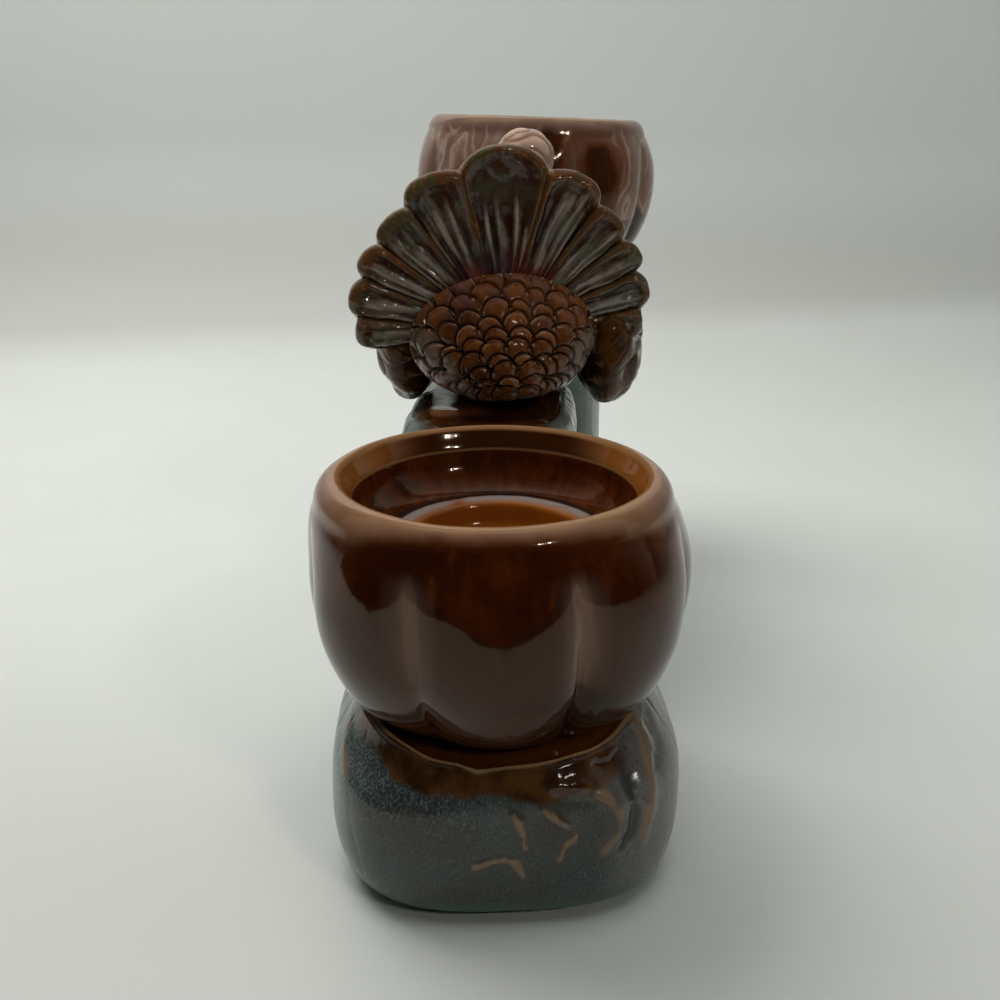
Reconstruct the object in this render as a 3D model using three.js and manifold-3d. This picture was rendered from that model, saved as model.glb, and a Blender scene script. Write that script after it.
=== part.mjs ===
// Turkey candle holder: a hollow glazed casting, kept as the elements that a potter lutes together.
// Three bark stumps carry a low pumpkin cup, a strutting turkey and a high pumpkin cup.
// Millimetres, +Z up. +Y runs from the low cup to the high cup, and +X is on its right.
// The origin lies on the underside, at the middle of the holder's overall length and width.

import * as THREE from 'three';
import { mergeVertices } from 'three/addons/utils/BufferGeometryUtils.js';
import Module from 'manifold-3d';

const wasm = await Module();
wasm.setup();

const deg = Math.PI / 180;

// Casting

const fit_gap = 0.3; // hairline at each luted joint
const overrun = 2; // how far a cut runs past the face that it opens
const casting_wall = 5;
const drain_radius = 12; // slip drains from cup and turkey into the stump below

// Pumpkin cups, both from one pattern

const cup_spacing = 204.5; // between the axes of the two cups
const cup_line_x = 2.7; // the fan overhangs on one side, so the cups stand off the middle
const cup_radius = 47.5; // over the lobes at the widest
const cup_height = 55.4; // from the seat on the stump to the crest of the lip
const groove_depth = 4.5;
const front_groove_turns = [-71, -20.5, 27.2, 79, 130, 182, 236];
const rear_groove_turns = [-104, -54.7, -16.8, 21.1, 67.2, 117, 165, 211];
const lobe_step_shares = [0, 0.08, 0.25, 0.5, 0.75, 0.92];
// Up the lobed wall: height, radius and depth of the grooves
const pumpkin_wall_shares = [
  [0, 0.653, 0.15],
  [0.045, 0.758, 0.45],
  [0.12, 0.853, 0.85],
  [0.243, 0.926, 1],
  [0.405, 0.981, 0.85],
  [0.587, 1, 0.62],
  [0.769, 0.985, 0.4],
  [0.92, 0.942, 0.12],
  [1, 0.905, 0],
];

// Lip, well and tealight recess of a cup

const lip_height = 6; // height of the lip above the lobed wall
const lip_roll = 1.6; // radius of the lip's inner edge
const bevel_width = 3.2; // sloping ledge inside the lip
const bevel_drop = 1.8;
const cup_wall = 3.5;
const well_depth = 15.5;
const well_draft = 0.7;
const floor_fillet = 2.4;
const recess_radius = 21.5;
const recess_depth = 7;
const cup_sides = 36;
const lip_steps = 4;
const roll_steps = 2;
const fillet_steps = 3;

// Stumps

const stump_sides = 36;
const bark_ridges = 9;
const bark_twist = 2.2; // radians of drift from the foot to the top

const front_stump_height = 42;
const front_stump_half_width = 43.8;
const front_stump_front = 44.8; // from the cup's axis towards the front
const front_stump_back = 40.2; // from the cup's axis to the seam with the middle stump
const front_stump_bark = 0.5;
const front_stump_squareness = 2.95;
const front_stump_turn = 7; // the stump sits askew, its right side towards the high cup
const front_stump_lip = 1.3; // raised edge round the cut top
const front_stump_lip_width = 3.2;
// Up the stump: height, half width, front reach, back reach, lean to the side
const front_stump_shares = [
  [0, 0.826, 0.77, 1, 0],
  [0.035, 0.89, 0.85, 1, 0.01],
  [0.12, 0.955, 0.945, 1.03, 0.015],
  [0.29, 1, 0.985, 1.06, 0.015],
  [0.52, 1.005, 1, 1.08, 0.018],
  [0.74, 0.985, 1, 1.1, 0.022],
  [0.9, 0.885, 0.97, 1.1, 0.02],
  [1, 0.825, 0.935, 1.08, 0],
];

const middle_stump_height = 89;
const middle_stump_half_width = 41;
const middle_stump_reach = 66; // each way from the middle, cut at the seams
const middle_stump_bark = 1.2;
const middle_stump_squareness = 2.8;
const middle_stump_shares = [
  [0, 0.93, 1, 1, 0],
  [0.02, 0.975, 1, 1, 0],
  [0.22, 1, 1, 1, 0],
  [0.5, 0.95, 0.92, 1, -0.07],
  [0.66, 0.87, 0.83, 0.99, -0.2],
  [0.79, 0.77, 0.78, 0.97, -0.29],
  [0.9, 0.7, 0.72, 0.95, -0.25],
  [0.965, 0.66, 0.65, 0.93, -0.24],
  [1, 0.56, 0.58, 0.9, -0.2],
];
const vent_radius = 2.35; // steam vent in the cut top, under the tail
const vent_x = 9.5;
const vent_y = -23.7;

const rear_stump_height = 123.6;
const rear_stump_half_width = 40;
const rear_stump_front = 39.2; // from the cup's axis to the seam with the middle stump
const rear_stump_back = 41;
const rear_stump_bark = 1.2;
const rear_stump_squareness = 2.3;
const rear_stump_shares = [
  [0, 0.93, 1.1, 0.93, 0],
  [0.02, 0.985, 1.1, 0.985, 0],
  [0.12, 0.97, 1.1, 1, 0],
  [0.32, 0.75, 1.08, 0.85, 0],
  [0.55, 0.71, 1.06, 0.75, 0],
  [0.68, 0.71, 1.01, 0.72, 0],
  [0.76, 0.72, 0.83, 0.7, 0],
  [0.88, 0.72, 0.76, 0.7, 0],
  [0.96, 0.74, 0.77, 0.71, 0],
  [1, 0.75, 0.78, 0.72, 0],
];

// Turkey: its frame stands on the cut top of the middle stump, under the hub of the tail

const turkey_x = -5.9;
const turkey_y = -12;
const turkey_turn = 2; // the turkey looks slightly to the right of the high cup

const tail_hub_height = 24.5;
const tail_lean = 5; // the top of the fan leans back
const tail_turn = 16; // the fan is twisted on the body, its left side towards the low cup
const tail_thickness = 6;
const tail_root_radius = 14;
const fan_radius = 57.3; // hub to the top of the middle feather
const feather_lap = 0.9; // each feather stands proud along its upper edge
// Outwards from the middle feather: turn of its tip and of its outer edge, degrees
const feather_tip_turns = [0, 27.5, 44.5, 60, 73.5, 87];
const feather_edge_turns = [15, 36.5, 52.5, 66, 81, 94];
const feather_tip_shares = [1, 0.948, 0.886, 0.876, 0.858, 0.8];
const feather_valley_shares = [0.902, 0.861, 0.829, 0.812, 0.797, 0.72];
const feather_along_shares = [0, 0.3, 0.6, 0.8, 0.92, 1];
const feather_thick_shares = [1, 0.86, 0.8, 1, 0.9, 0.4];
const feather_across_shares = [-1, -0.7, -0.35, 0, 0.35, 0.7, 1];
const feather_crown_share = 0.35;
const feather_arch_power = 2.4;

const rump_half_width = 29.5;
const rump_half_height = 20.4;
const rump_depth = 17;
const rump_sag = 6; // how far below the hub the dome stands out most
const rump_fullness = 2.3; // 2 is an ellipse, more is squarer
const rump_brow_power = 1.9; // the dome runs out gently at the top, over 1 is hollow
const rump_rows = 8;
const rump_sides = 36;

// Centre and half sizes: to the right, ahead of the hub, above the stump
const belly_centre = [0, 26, 23];
const belly_half = [30, 30, 27];
const breast_centre = [0, 37, 33];
const breast_half = [26.5, 24.5, 25];
const wing_centre = [33, 25, 18.6];
const wing_half = [11.6, 24, 20.5];
const wing_droop = 14;
const head_centre = [4.2, 31.6, 77];
const head_half = [9, 10, 9.3];

const neck_path = [[0, 45, 41], [0, 39, 54], [1.6, 29.5, 63], [3.4, 28.5, 71], [4.2, 31, 77]];
const neck_radii = [12, 9.4, 7.6, 6.8, 6.4];
const beak_path = [[4.6, 38, 76.6], [5, 43.5, 76], [5.3, 47.5, 74], [5.4, 49.2, 71.4]];
const beak_radii = [3.8, 3.1, 2, 0.9];
const snood_path = [[6.4, 40.6, 80.4], [9, 44.6, 78.6], [10, 46.4, 74], [10, 46.4, 69]];
const snood_radii = [1.7, 1.8, 2.1, 1.4];
const wattle_path = [[4.2, 37.4, 70.6], [4, 41, 66.4], [3.6, 42.4, 61.4], [3.2, 42, 57]];
const wattle_radii = [3, 3.6, 4, 2.2];
const leg_path = [[12, 42, 12], [12.6, 45.5, 6], [13, 47.5, 2.4]];
const leg_radii = [5.6, 4.4, 3.4];
const toe_length = 13;
const toe_radius = 2.2;
const toe_turns = [-28, 0, 28, 180];
const tube_sides = 10;
const cap_steps = 4;
const tube_steps = 7;
const ball_sides = 22;
const ball_rows = 12;

// Places that follow from the sizes

const front_cup_y = -cup_spacing / 2;
const rear_cup_y = cup_spacing / 2;
const front_seam_y = front_cup_y + front_stump_back;
const rear_seam_y = rear_cup_y - rear_stump_front;
const middle_y = (front_seam_y + rear_seam_y) / 2;
const pumpkin_wall_height = cup_height - lip_height;
const wall_top_radius = pumpkin_wall_shares.at(-1)[1] * cup_radius;
const cup_body_radius = wall_top_radius - casting_wall - fit_gap;
const well_radius = cup_body_radius - cup_wall;
const mouth_radius = well_radius + bevel_width;

// Finishes, colours as the glaze shows them

const brown_glaze = { color: 0x5a2c12, roughness: 0.15, metalness: 0 };
const amber_glaze = { color: 0x8a4d17, roughness: 0.15, metalness: 0 };
const mauve_glaze = { color: 0x8f6355, roughness: 0.15, metalness: 0 };
const bark_glaze = { color: 0x5c6d6c, roughness: 0.22, metalness: 0 };
const fan_glaze = { color: 0x7a7067, roughness: 0.18, metalness: 0 };
const plumage_glaze = { color: 0x6b4020, roughness: 0.18, metalness: 0 };
const flesh_glaze = { color: 0x8c6151, roughness: 0.18, metalness: 0 };

// Solids and booleans

function solidFrom(geometry) {
  const plain = geometry.clone();
  plain.deleteAttribute('normal');
  plain.deleteAttribute('uv');
  const merged = mergeVertices(plain);
  return new wasm.Manifold(
    new wasm.Mesh({
      numProp: 3,
      vertProperties: merged.attributes.position.array,
      triVerts: new Uint32Array(merged.index.array),
    }),
  );
}

function geometryFrom(solid) {
  const mesh = solid.getMesh();
  const geometry = new THREE.BufferGeometry();
  geometry.setAttribute('position', new THREE.BufferAttribute(mesh.vertProperties, 3));
  geometry.setIndex(new THREE.BufferAttribute(mesh.triVerts, 1));
  return geometry;
}

// Six times the volume that the triangles enclose, negative when the faces point inwards.
function signedVolume(points, triangles) {
  let sum = 0;
  for (const [a, b, c] of triangles) {
    sum += points[a].dot(points[b].clone().cross(points[c]));
  }
  return sum;
}

// A skin over equal rings of points. It closes on itself, or gets a fan at each end.
function skin(rings, closesOnItself = false) {
  const count = rings[0].length;
  const points = rings.flat();
  const triangles = [];
  const last = closesOnItself ? rings.length : rings.length - 1;
  for (let row = 0; row < last; row++) {
    const upper = ((row + 1) % rings.length) * count;
    for (let k = 0; k < count; k++) {
      const next = (k + 1) % count;
      const corners = [row * count + k, row * count + next, upper + next, upper + k];
      triangles.push([corners[0], corners[1], corners[2]], [corners[0], corners[2], corners[3]]);
    }
  }
  if (!closesOnItself) {
    for (const [ring, start] of [[rings[0], 0], [rings.at(-1), points.length - count]]) {
      const middle = ring.reduce((sum, p) => sum.add(p), new THREE.Vector3()).divideScalar(count);
      const hub = points.push(middle) - 1;
      for (let k = 0; k < count; k++) {
        const edge = [start + k, start + ((k + 1) % count)];
        triangles.push(start === 0 ? [hub, edge[1], edge[0]] : [hub, edge[0], edge[1]]);
      }
    }
  }
  const outward = signedVolume(points, triangles) > 0;
  const geometry = new THREE.BufferGeometry().setFromPoints(points);
  geometry.setIndex(triangles.flatMap(([a, b, c]) => (outward ? [a, b, c] : [a, c, b])));
  return geometry;
}

function boxBetween(low, high) {
  const size = high.map((value, axis) => value - low[axis]);
  const box = new THREE.BoxGeometry(...size);
  box.translate(...size.map((value, axis) => low[axis] + value / 2));
  return solidFrom(box);
}

function uprightRod(radius, x, y, low, high) {
  const rod = new THREE.CylinderGeometry(radius, radius, high - low, tube_sides * 2);
  rod.rotateX(Math.PI / 2).translate(x, y, (low + high) / 2);
  return solidFrom(rod);
}

// An egg of the given half sizes, all grown alike, with an optional pitch about its cross axis.
function egg(centre, half, grow = 0, pitch = 0) {
  const ball = new THREE.SphereGeometry(1, ball_sides, ball_rows);
  ball.rotateX(Math.PI / 2);
  ball.scale(...half.map((size) => size + grow));
  ball.rotateX(pitch * deg);
  ball.translate(...centre);
  return solidFrom(ball);
}

// A round limb along a smooth path, its radius eased from one listed value to the next.
function limb(path, radii, grow = 0) {
  const curve = new THREE.CatmullRomCurve3(path.map((place) => new THREE.Vector3(...place)));
  const side = new THREE.Vector3(1, 0, 0);
  const rings = [];
  for (let step = 0; step <= tube_steps; step++) {
    const along = step / tube_steps;
    const spot = along * (radii.length - 1);
    const index = Math.min(Math.floor(spot), radii.length - 2);
    const radius = THREE.MathUtils.lerp(radii[index], radii[index + 1], spot - index) + grow;
    const middle = curve.getPoint(along);
    const heading = curve.getTangent(along);
    const across = side.clone().addScaledVector(heading, -side.dot(heading)).normalize();
    const over = new THREE.Vector3().crossVectors(heading, across);
    const ring = [];
    for (let k = 0; k < tube_sides; k++) {
      const turn = (2 * Math.PI * k) / tube_sides;
      const point = middle.clone().addScaledVector(across, radius * Math.cos(turn));
      ring.push(point.addScaledVector(over, radius * Math.sin(turn)));
    }
    rings.push(ring);
  }
  return solidFrom(skin(rings));
}

// Stumps

function barkSwell(stump, turn, up) {
  return stump.bark * Math.cos(bark_ridges * turn + bark_twist * up);
}

const upright = new THREE.Vector3(0, 0, 1);

function stumpRing(stump, shares, height, grow, inset = 0) {
  const [up, wide, front, back, lean] = shares;
  const power = 2 / stump.squareness;
  const ring = [];
  for (let k = 0; k < stump_sides; k++) {
    const turn = (2 * Math.PI * k) / stump_sides;
    const swell = grow - inset + barkSwell(stump, turn, up);
    const across = Math.sign(Math.cos(turn)) * Math.abs(Math.cos(turn)) ** power;
    const along = Math.sign(Math.sin(turn)) * Math.abs(Math.sin(turn)) ** power;
    const reach = along < 0 ? front * stump.front : back * stump.back;
    const x = lean * stump.half_width + (wide * stump.half_width + swell) * across;
    const point = new THREE.Vector3(x, (reach + swell) * along, height);
    point.applyAxisAngle(upright, stump.turn * deg);
    point.y += stump.y;
    ring.push(point);
  }
  return ring;
}

// The outer form. A stump may have a low raised lip round its cut top.
function stumpForm(stump, grow = 0) {
  const cut = stump.height + grow;
  const rows = stump.shares.map((row) => stumpRing(stump, row, row[0] * cut, grow));
  if (stump.lip) {
    const top = stump.shares.at(-1);
    rows.push(stumpRing(stump, top, cut + stump.lip.height, grow, stump.lip.width / 2));
    rows.push(stumpRing(stump, top, cut, grow, stump.lip.width));
  }
  return solidFrom(skin(rows));
}

// The hollow follows the outside at the wall's thickness and runs out through the underside.
function stumpHollow(stump) {
  const roof = stump.height - casting_wall;
  const coarse = stump.shares.filter((row, index) => index % 2 === 0 || row[0] === 1);
  const rows = coarse.map((row, index) => {
    const height = index === 0 ? -overrun : row[0] * roof;
    return stumpRing(stump, row, height, -casting_wall);
  });
  return solidFrom(skin(rows));
}

function slabBetween(stump, inset) {
  const wide = 2 * stump.half_width;
  return boxBetween(
    [-wide, stump.seams[0] + inset, -stump.height],
    [wide, stump.seams[1] - inset, 2 * stump.height],
  );
}

function stumpShell(stump) {
  const shell = stumpForm(stump).intersect(slabBetween(stump, 0));
  return shell.subtract(stumpHollow(stump).intersect(slabBetween(stump, casting_wall)));
}

function throughTop(stump, radius, x, y) {
  const low = stump.height - casting_wall - overrun;
  return uprightRod(radius, x, y, low, stump.height + overrun);
}

const front_stump = {
  y: front_cup_y,
  height: front_stump_height,
  half_width: front_stump_half_width,
  front: front_stump_front,
  back: front_stump_back,
  bark: front_stump_bark,
  squareness: front_stump_squareness,
  turn: front_stump_turn,
  shares: front_stump_shares,
  lip: { height: front_stump_lip, width: front_stump_lip_width },
  seams: [front_cup_y - 2 * front_stump_front, front_seam_y - fit_gap],
};

const middle_stump = {
  y: middle_y,
  height: middle_stump_height,
  half_width: middle_stump_half_width,
  front: middle_stump_reach,
  back: middle_stump_reach,
  bark: middle_stump_bark,
  squareness: middle_stump_squareness,
  turn: 0,
  shares: middle_stump_shares,
  seams: [front_seam_y, rear_seam_y - fit_gap],
};

const rear_stump = {
  y: rear_cup_y,
  height: rear_stump_height,
  half_width: rear_stump_half_width,
  front: rear_stump_front,
  back: rear_stump_back,
  bark: rear_stump_bark,
  squareness: rear_stump_squareness,
  turn: 0,
  shares: rear_stump_shares,
  seams: [rear_seam_y, rear_cup_y + 2 * rear_stump_back],
};

// Pumpkins

// How far the wall dips at a share of the way from a groove to the middle of its lobe.
function lobeDip(share) {
  return 1 - Math.sqrt(1 - (1 - share) ** 2);
}

// Turns round the cup, each with its dip: a few steps over every lobe, closer at the grooves.
function lobeSteps(grooves) {
  const steps = [];
  grooves.forEach((start, index) => {
    const end = index + 1 < grooves.length ? grooves[index + 1] : grooves[0] + 360;
    for (const share of lobe_step_shares) {
      const nearest = 2 * Math.min(share, 1 - share);
      steps.push([(start + share * (end - start)) * deg, lobeDip(nearest)]);
    }
  });
  return steps;
}

// Turn 0 faces the front and the turn grows towards +X.
function lobedRing(steps, radius, groove, y, height) {
  return steps.map(([turn, dip]) => {
    const reach = radius - groove * groove_depth * dip;
    return new THREE.Vector3(reach * Math.sin(turn), y - reach * Math.cos(turn), height);
  });
}

function pumpkinShell(grooves, y, seat) {
  const steps = lobeSteps(grooves);
  const ring = (radius, groove, up) => lobedRing(steps, radius, groove, y, seat + up);
  const outer = pumpkin_wall_shares.map(([up, out, groove]) =>
    ring(out * cup_radius, groove, up * pumpkin_wall_height),
  );
  const inner = pumpkin_wall_shares
    .filter(([up], index) => index % 2 === 0 && up * pumpkin_wall_height > casting_wall)
    .map(([up, out, groove]) =>
      ring(out * cup_radius - casting_wall, groove, up * pumpkin_wall_height),
    )
    .reverse();
  const foot_inside = pumpkin_wall_shares[1][1] * cup_radius - casting_wall;
  const floor = [ring(foot_inside, 0, casting_wall), ring(drain_radius, 0, casting_wall)];
  return skin([...outer, ...inner, ...floor, ring(drain_radius, 0, 0)], true);
}

// The envelope of a pumpkin without its grooves, for clearing its neighbours.
function pumpkinEnvelope(y, seat) {
  const outline = [new THREE.Vector2(0, -fit_gap)];
  for (const [up, out] of pumpkin_wall_shares) {
    outline.push(new THREE.Vector2(out * cup_radius + fit_gap, up * pumpkin_wall_height));
  }
  outline.push(new THREE.Vector2(wall_top_radius + fit_gap, cup_height + fit_gap));
  outline.push(new THREE.Vector2(0, cup_height + fit_gap));
  const lathe = new THREE.LatheGeometry(outline, cup_sides);
  lathe.rotateX(Math.PI / 2).translate(0, y, seat);
  return solidFrom(lathe);
}

// Turned cup: lip, bevel, well and recess, with the same wall underneath.
function candleCup(y, rim) {
  const outline = [];
  const at = (radius, height) => outline.push(new THREE.Vector2(radius, height));
  const recess_floor = -well_depth - recess_depth;
  const flange = fit_gap - lip_height;
  at(0, recess_floor - cup_wall);
  at(recess_radius + cup_wall, recess_floor - cup_wall);
  at(recess_radius + cup_wall, -well_depth - cup_wall);
  at(cup_body_radius - floor_fillet, -well_depth - cup_wall);
  at(cup_body_radius, -well_depth - cup_wall + floor_fillet);
  at(cup_body_radius, flange);
  const crest = mouth_radius + lip_roll;
  for (let step = 0; step <= lip_steps; step++) {
    const turn = (Math.PI / 2) * (step / lip_steps);
    at(crest + (wall_top_radius - crest) * Math.cos(turn), flange * (1 - Math.sin(turn)));
  }
  for (let step = 1; step <= roll_steps; step++) {
    const turn = (Math.PI / 2) * (step / roll_steps);
    at(crest - lip_roll * Math.sin(turn), lip_roll * (Math.cos(turn) - 1));
  }
  at(well_radius, -lip_roll - bevel_drop);
  const fillet_centre = well_radius - well_draft - floor_fillet;
  for (let step = 0; step <= fillet_steps; step++) {
    const turn = (Math.PI / 2) * (step / fillet_steps);
    const drop = -well_depth + floor_fillet * (1 - Math.sin(turn));
    at(fillet_centre + floor_fillet * Math.cos(turn), drop);
  }
  at(recess_radius, -well_depth);
  at(recess_radius, recess_floor);
  at(0, recess_floor);
  const lathe = new THREE.LatheGeometry(outline, cup_sides);
  lathe.rotateX(Math.PI / 2).translate(0, y, rim);
  return geometryFrom(solidFrom(lathe));
}

// Tail, in a frame with the hub as origin and the fan across X and Z

// One feather between two edges, from the root disc out to its rounded tip.
function tailFeather(slot) {
  const rank = Math.abs(slot);
  const side = Math.sign(slot);
  const inner_turn = rank === 0 ? -feather_edge_turns[0] : feather_edge_turns[rank - 1];
  const outer_turn = feather_edge_turns[rank];
  const inner_valley = feather_valley_shares[Math.max(rank - 1, 0)] * fan_radius;
  const outer_valley = feather_valley_shares[rank] * fan_radius;
  const tip = feather_tip_shares[rank] * fan_radius;
  const lean = (2 * feather_tip_turns[rank] - inner_turn - outer_turn) / (outer_turn - inner_turn);
  const start = tail_root_radius + fit_gap;
  const place = (across, along, thick, face) => {
    const share = (across + 1) / 2;
    const valley = THREE.MathUtils.lerp(inner_valley, outer_valley, share);
    const skewed = (across - lean) / (1 - lean * across);
    const arch = 1 - Math.abs(skewed) ** feather_arch_power;
    const reach = THREE.MathUtils.lerp(start, valley + (tip - valley) * arch, along);
    const turn = THREE.MathUtils.lerp(inner_turn, outer_turn, share) * deg;
    const inset = turn - (Math.sign(across) * fit_gap) / (2 * reach);
    const crown = 1 - feather_crown_share * across * across;
    const lap = side === 0 ? 0 : feather_lap * across * along;
    const y = lap + (face * thick * crown * tail_thickness) / 2;
    const mirror = side === 0 ? 1 : side;
    return new THREE.Vector3(mirror * reach * Math.sin(inset), y, reach * Math.cos(inset));
  };
  const rings = feather_along_shares.map((along, row) => {
    const thick = feather_thick_shares[row];
    const front = feather_across_shares.map((across) => place(across, along, thick, -1));
    const back = feather_across_shares.map((across) => place(across, along, thick, 1));
    return [...front, ...back.reverse()];
  });
  return skin(rings);
}

// The disc reaches past the lapped feathers on both sides, to the body and to the dome.
function tailRoot() {
  const depth = tail_thickness + 2 * feather_lap;
  return new THREE.CylinderGeometry(tail_root_radius, tail_root_radius, depth, ball_sides);
}

// The dome of scale feathers, flat on the fan: full and rounded below, with a long, gentle brow.
function rumpFeathers() {
  const back = -tail_thickness / 2 - feather_lap - fit_gap;
  const power = 2 / rump_fullness;
  const rings = [];
  for (let row = 1; row <= rump_rows; row++) {
    const tilt = (Math.PI / 2) * (row / rump_rows);
    const ring = [];
    for (let k = 0; k < rump_sides; k++) {
      const turn = (2 * Math.PI * k) / rump_sides;
      const out = Math.sin(tilt) ** power;
      const brow = (1 + Math.sin(turn)) / 2;
      const deep = Math.cos(tilt) ** THREE.MathUtils.lerp(power, rump_brow_power, brow) * rump_depth;
      const x = rump_half_width * out * Math.cos(turn);
      const z = rump_half_height * out * Math.sin(turn) - rump_sag * (1 - out);
      ring.push(new THREE.Vector3(x, back - (row === rump_rows ? 0 : deep), z));
    }
    rings.push(ring);
  }
  return skin(rings);
}

// Turkey, in a frame with the cut top of the stump as ground

const tail_frame = new THREE.Matrix4()
  .makeRotationFromEuler(new THREE.Euler(tail_lean * deg, 0, tail_turn * deg, 'ZYX'))
  .setPosition(0, 0, tail_hub_height);

// Everything from the given clearance ahead of the fan backwards.
function behindFan(clearance) {
  const far = 2 * fan_radius;
  const face = tail_thickness / 2 + feather_lap + clearance;
  const block = new THREE.BoxGeometry(2 * far, far, 2 * far);
  block.translate(0, face - far / 2, 0).applyMatrix4(tail_frame);
  return solidFrom(block);
}

function belowGround(clearance) {
  const far = 2 * fan_radius;
  return boxBetween([-far, -far, -far], [far, far, clearance]);
}

function bodyForm(grow) {
  return egg(belly_centre, belly_half, grow).add(egg(breast_centre, breast_half, grow));
}

function turkeyBody(ground) {
  const outside = bodyForm(0).subtract(behindFan(fit_gap)).subtract(ground);
  const hollow = bodyForm(-casting_wall)
    .subtract(behindFan(casting_wall))
    .subtract(belowGround(casting_wall));
  const drain = uprightRod(drain_radius, belly_centre[0], belly_centre[1], -overrun, belly_half[2]);
  return geometryFrom(outside.subtract(hollow).subtract(drain));
}

function wing(side, ground) {
  const [x, y, z] = wing_centre;
  const form = egg([side * x, y, z], wing_half, 0, wing_droop);
  const seated = form.subtract(bodyForm(fit_gap)).subtract(behindFan(fit_gap));
  return geometryFrom(largest(seated.subtract(ground)));
}

// A cut can leave a crumb beside the piece, and the piece is the largest of them.
function largest(solid) {
  return solid.decompose().sort((a, b) => b.volume() - a.volume())[0];
}

function toe(side, turn) {
  const pad = new THREE.CapsuleGeometry(toe_radius, toe_length, cap_steps, tube_sides);
  pad.translate(0, toe_length / 2, 0).rotateZ(-turn * deg);
  const [x, y] = leg_path.at(-1);
  pad.translate(side * x, y, toe_radius / 2);
  return solidFrom(pad);
}

function leg(side, ground) {
  const path = leg_path.map(([x, y, z]) => [side * x, y, z]);
  let form = limb(path, leg_radii);
  for (const turn of toe_turns) {
    form = form.add(toe(side, turn));
  }
  return geometryFrom(largest(form.subtract(bodyForm(fit_gap)).subtract(ground)));
}

function headForm(grow = 0) {
  return egg(head_centre, head_half, grow);
}

function turkeyNeck() {
  const form = limb(neck_path, neck_radii);
  return geometryFrom(largest(form.subtract(bodyForm(fit_gap)).subtract(headForm(fit_gap))));
}

function beak() {
  return geometryFrom(largest(limb(beak_path, beak_radii).subtract(headForm(fit_gap))));
}

function snood() {
  const form = limb(snood_path, snood_radii).subtract(headForm(fit_gap));
  return geometryFrom(largest(form.subtract(limb(beak_path, beak_radii, fit_gap))));
}

function wattle() {
  const form = limb(wattle_path, wattle_radii).subtract(headForm(fit_gap));
  const clear = form.subtract(limb(beak_path, beak_radii, fit_gap));
  return geometryFrom(largest(clear.subtract(limb(neck_path, neck_radii, fit_gap))));
}

// The assembly

function piece(name, geometry, finish) {
  const mesh = new THREE.Mesh(geometry, new THREE.MeshStandardMaterial(finish));
  mesh.name = name;
  return mesh;
}

const turkey = new THREE.Group();
turkey.position.set(turkey_x, turkey_y, middle_stump_height);
turkey.rotation.z = -turkey_turn * deg;
turkey.updateMatrix();

const tail = new THREE.Group();
tail.applyMatrix4(tail_frame);
turkey.add(tail);

// The middle stump with its clearance, as the turkey's frame sees it, for what it carries.
const ground = solidFrom(
  geometryFrom(stumpForm(middle_stump, fit_gap)).applyMatrix4(turkey.matrix.clone().invert()),
);

const belly_place = new THREE.Vector3(belly_centre[0], belly_centre[1], 0);
belly_place.applyMatrix4(turkey.matrix);

const front_shell = stumpShell(front_stump)
  .subtract(throughTop(front_stump, drain_radius, 0, front_cup_y));
const middle_shell = stumpShell(middle_stump)
  .subtract(throughTop(middle_stump, drain_radius, belly_place.x, belly_place.y))
  .subtract(throughTop(middle_stump, vent_radius, vent_x, vent_y))
  .subtract(pumpkinEnvelope(front_cup_y, front_stump_height));
const rear_shell = stumpShell(rear_stump)
  .subtract(throughTop(rear_stump, drain_radius, 0, rear_cup_y));

const front_seat = front_stump_height + fit_gap;
const rear_seat = rear_stump_height + fit_gap;

const casting = new THREE.Group();
casting.position.x = cup_line_x;
casting.add(
  piece('front_stump', geometryFrom(front_shell), bark_glaze),
  piece('middle_stump', geometryFrom(middle_shell), bark_glaze),
  piece('rear_stump', geometryFrom(rear_shell), bark_glaze),
  piece('front_pumpkin_shell', pumpkinShell(front_groove_turns, front_cup_y, front_seat), brown_glaze),
  piece('front_candle_cup', candleCup(front_cup_y, front_seat + cup_height), amber_glaze),
  piece('rear_pumpkin_shell', pumpkinShell(rear_groove_turns, rear_cup_y, rear_seat), mauve_glaze),
  piece('rear_candle_cup', candleCup(rear_cup_y, rear_seat + cup_height), amber_glaze),
  turkey,
);

turkey.add(
  piece('turkey_body', turkeyBody(ground), plumage_glaze),
  piece('left_wing', wing(-1, ground), plumage_glaze),
  piece('right_wing', wing(1, ground), plumage_glaze),
  piece('left_leg', leg(-1, ground), plumage_glaze),
  piece('right_leg', leg(1, ground), plumage_glaze),
  piece('turkey_neck', turkeyNeck(), flesh_glaze),
  piece('turkey_head', geometryFrom(headForm()), flesh_glaze),
  piece('beak', beak(), amber_glaze),
  piece('snood', snood(), flesh_glaze),
  piece('wattle', wattle(), flesh_glaze),
);

tail.add(
  piece('rump_feathers', rumpFeathers(), plumage_glaze),
  piece('tail_root', tailRoot(), plumage_glaze),
);

// Feathers are numbered from the viewer's left, seen from behind the fan
const outermost = feather_tip_turns.length - 1;
for (let slot = -outermost; slot <= outermost; slot++) {
  const number = String(slot + outermost + 1).padStart(2, '0');
  tail.add(piece(`tail_feather_${number}`, tailFeather(slot), fan_glaze));
}

const holder = new THREE.Group();
holder.add(casting);

export default holder;
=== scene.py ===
# %% [markdown]
# # Turkey candle holder
# The real thing is one hollow casting under a thick, shiny, reactive glaze: a low pumpkin cup
# on a short bark stump, a strutting turkey on a higher one, and a second cup behind. Each
# moulded element is a piece here, over the solid that it dresses. The frame holds the solids
# at their real size, so it is loaded first and only measured.

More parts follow.
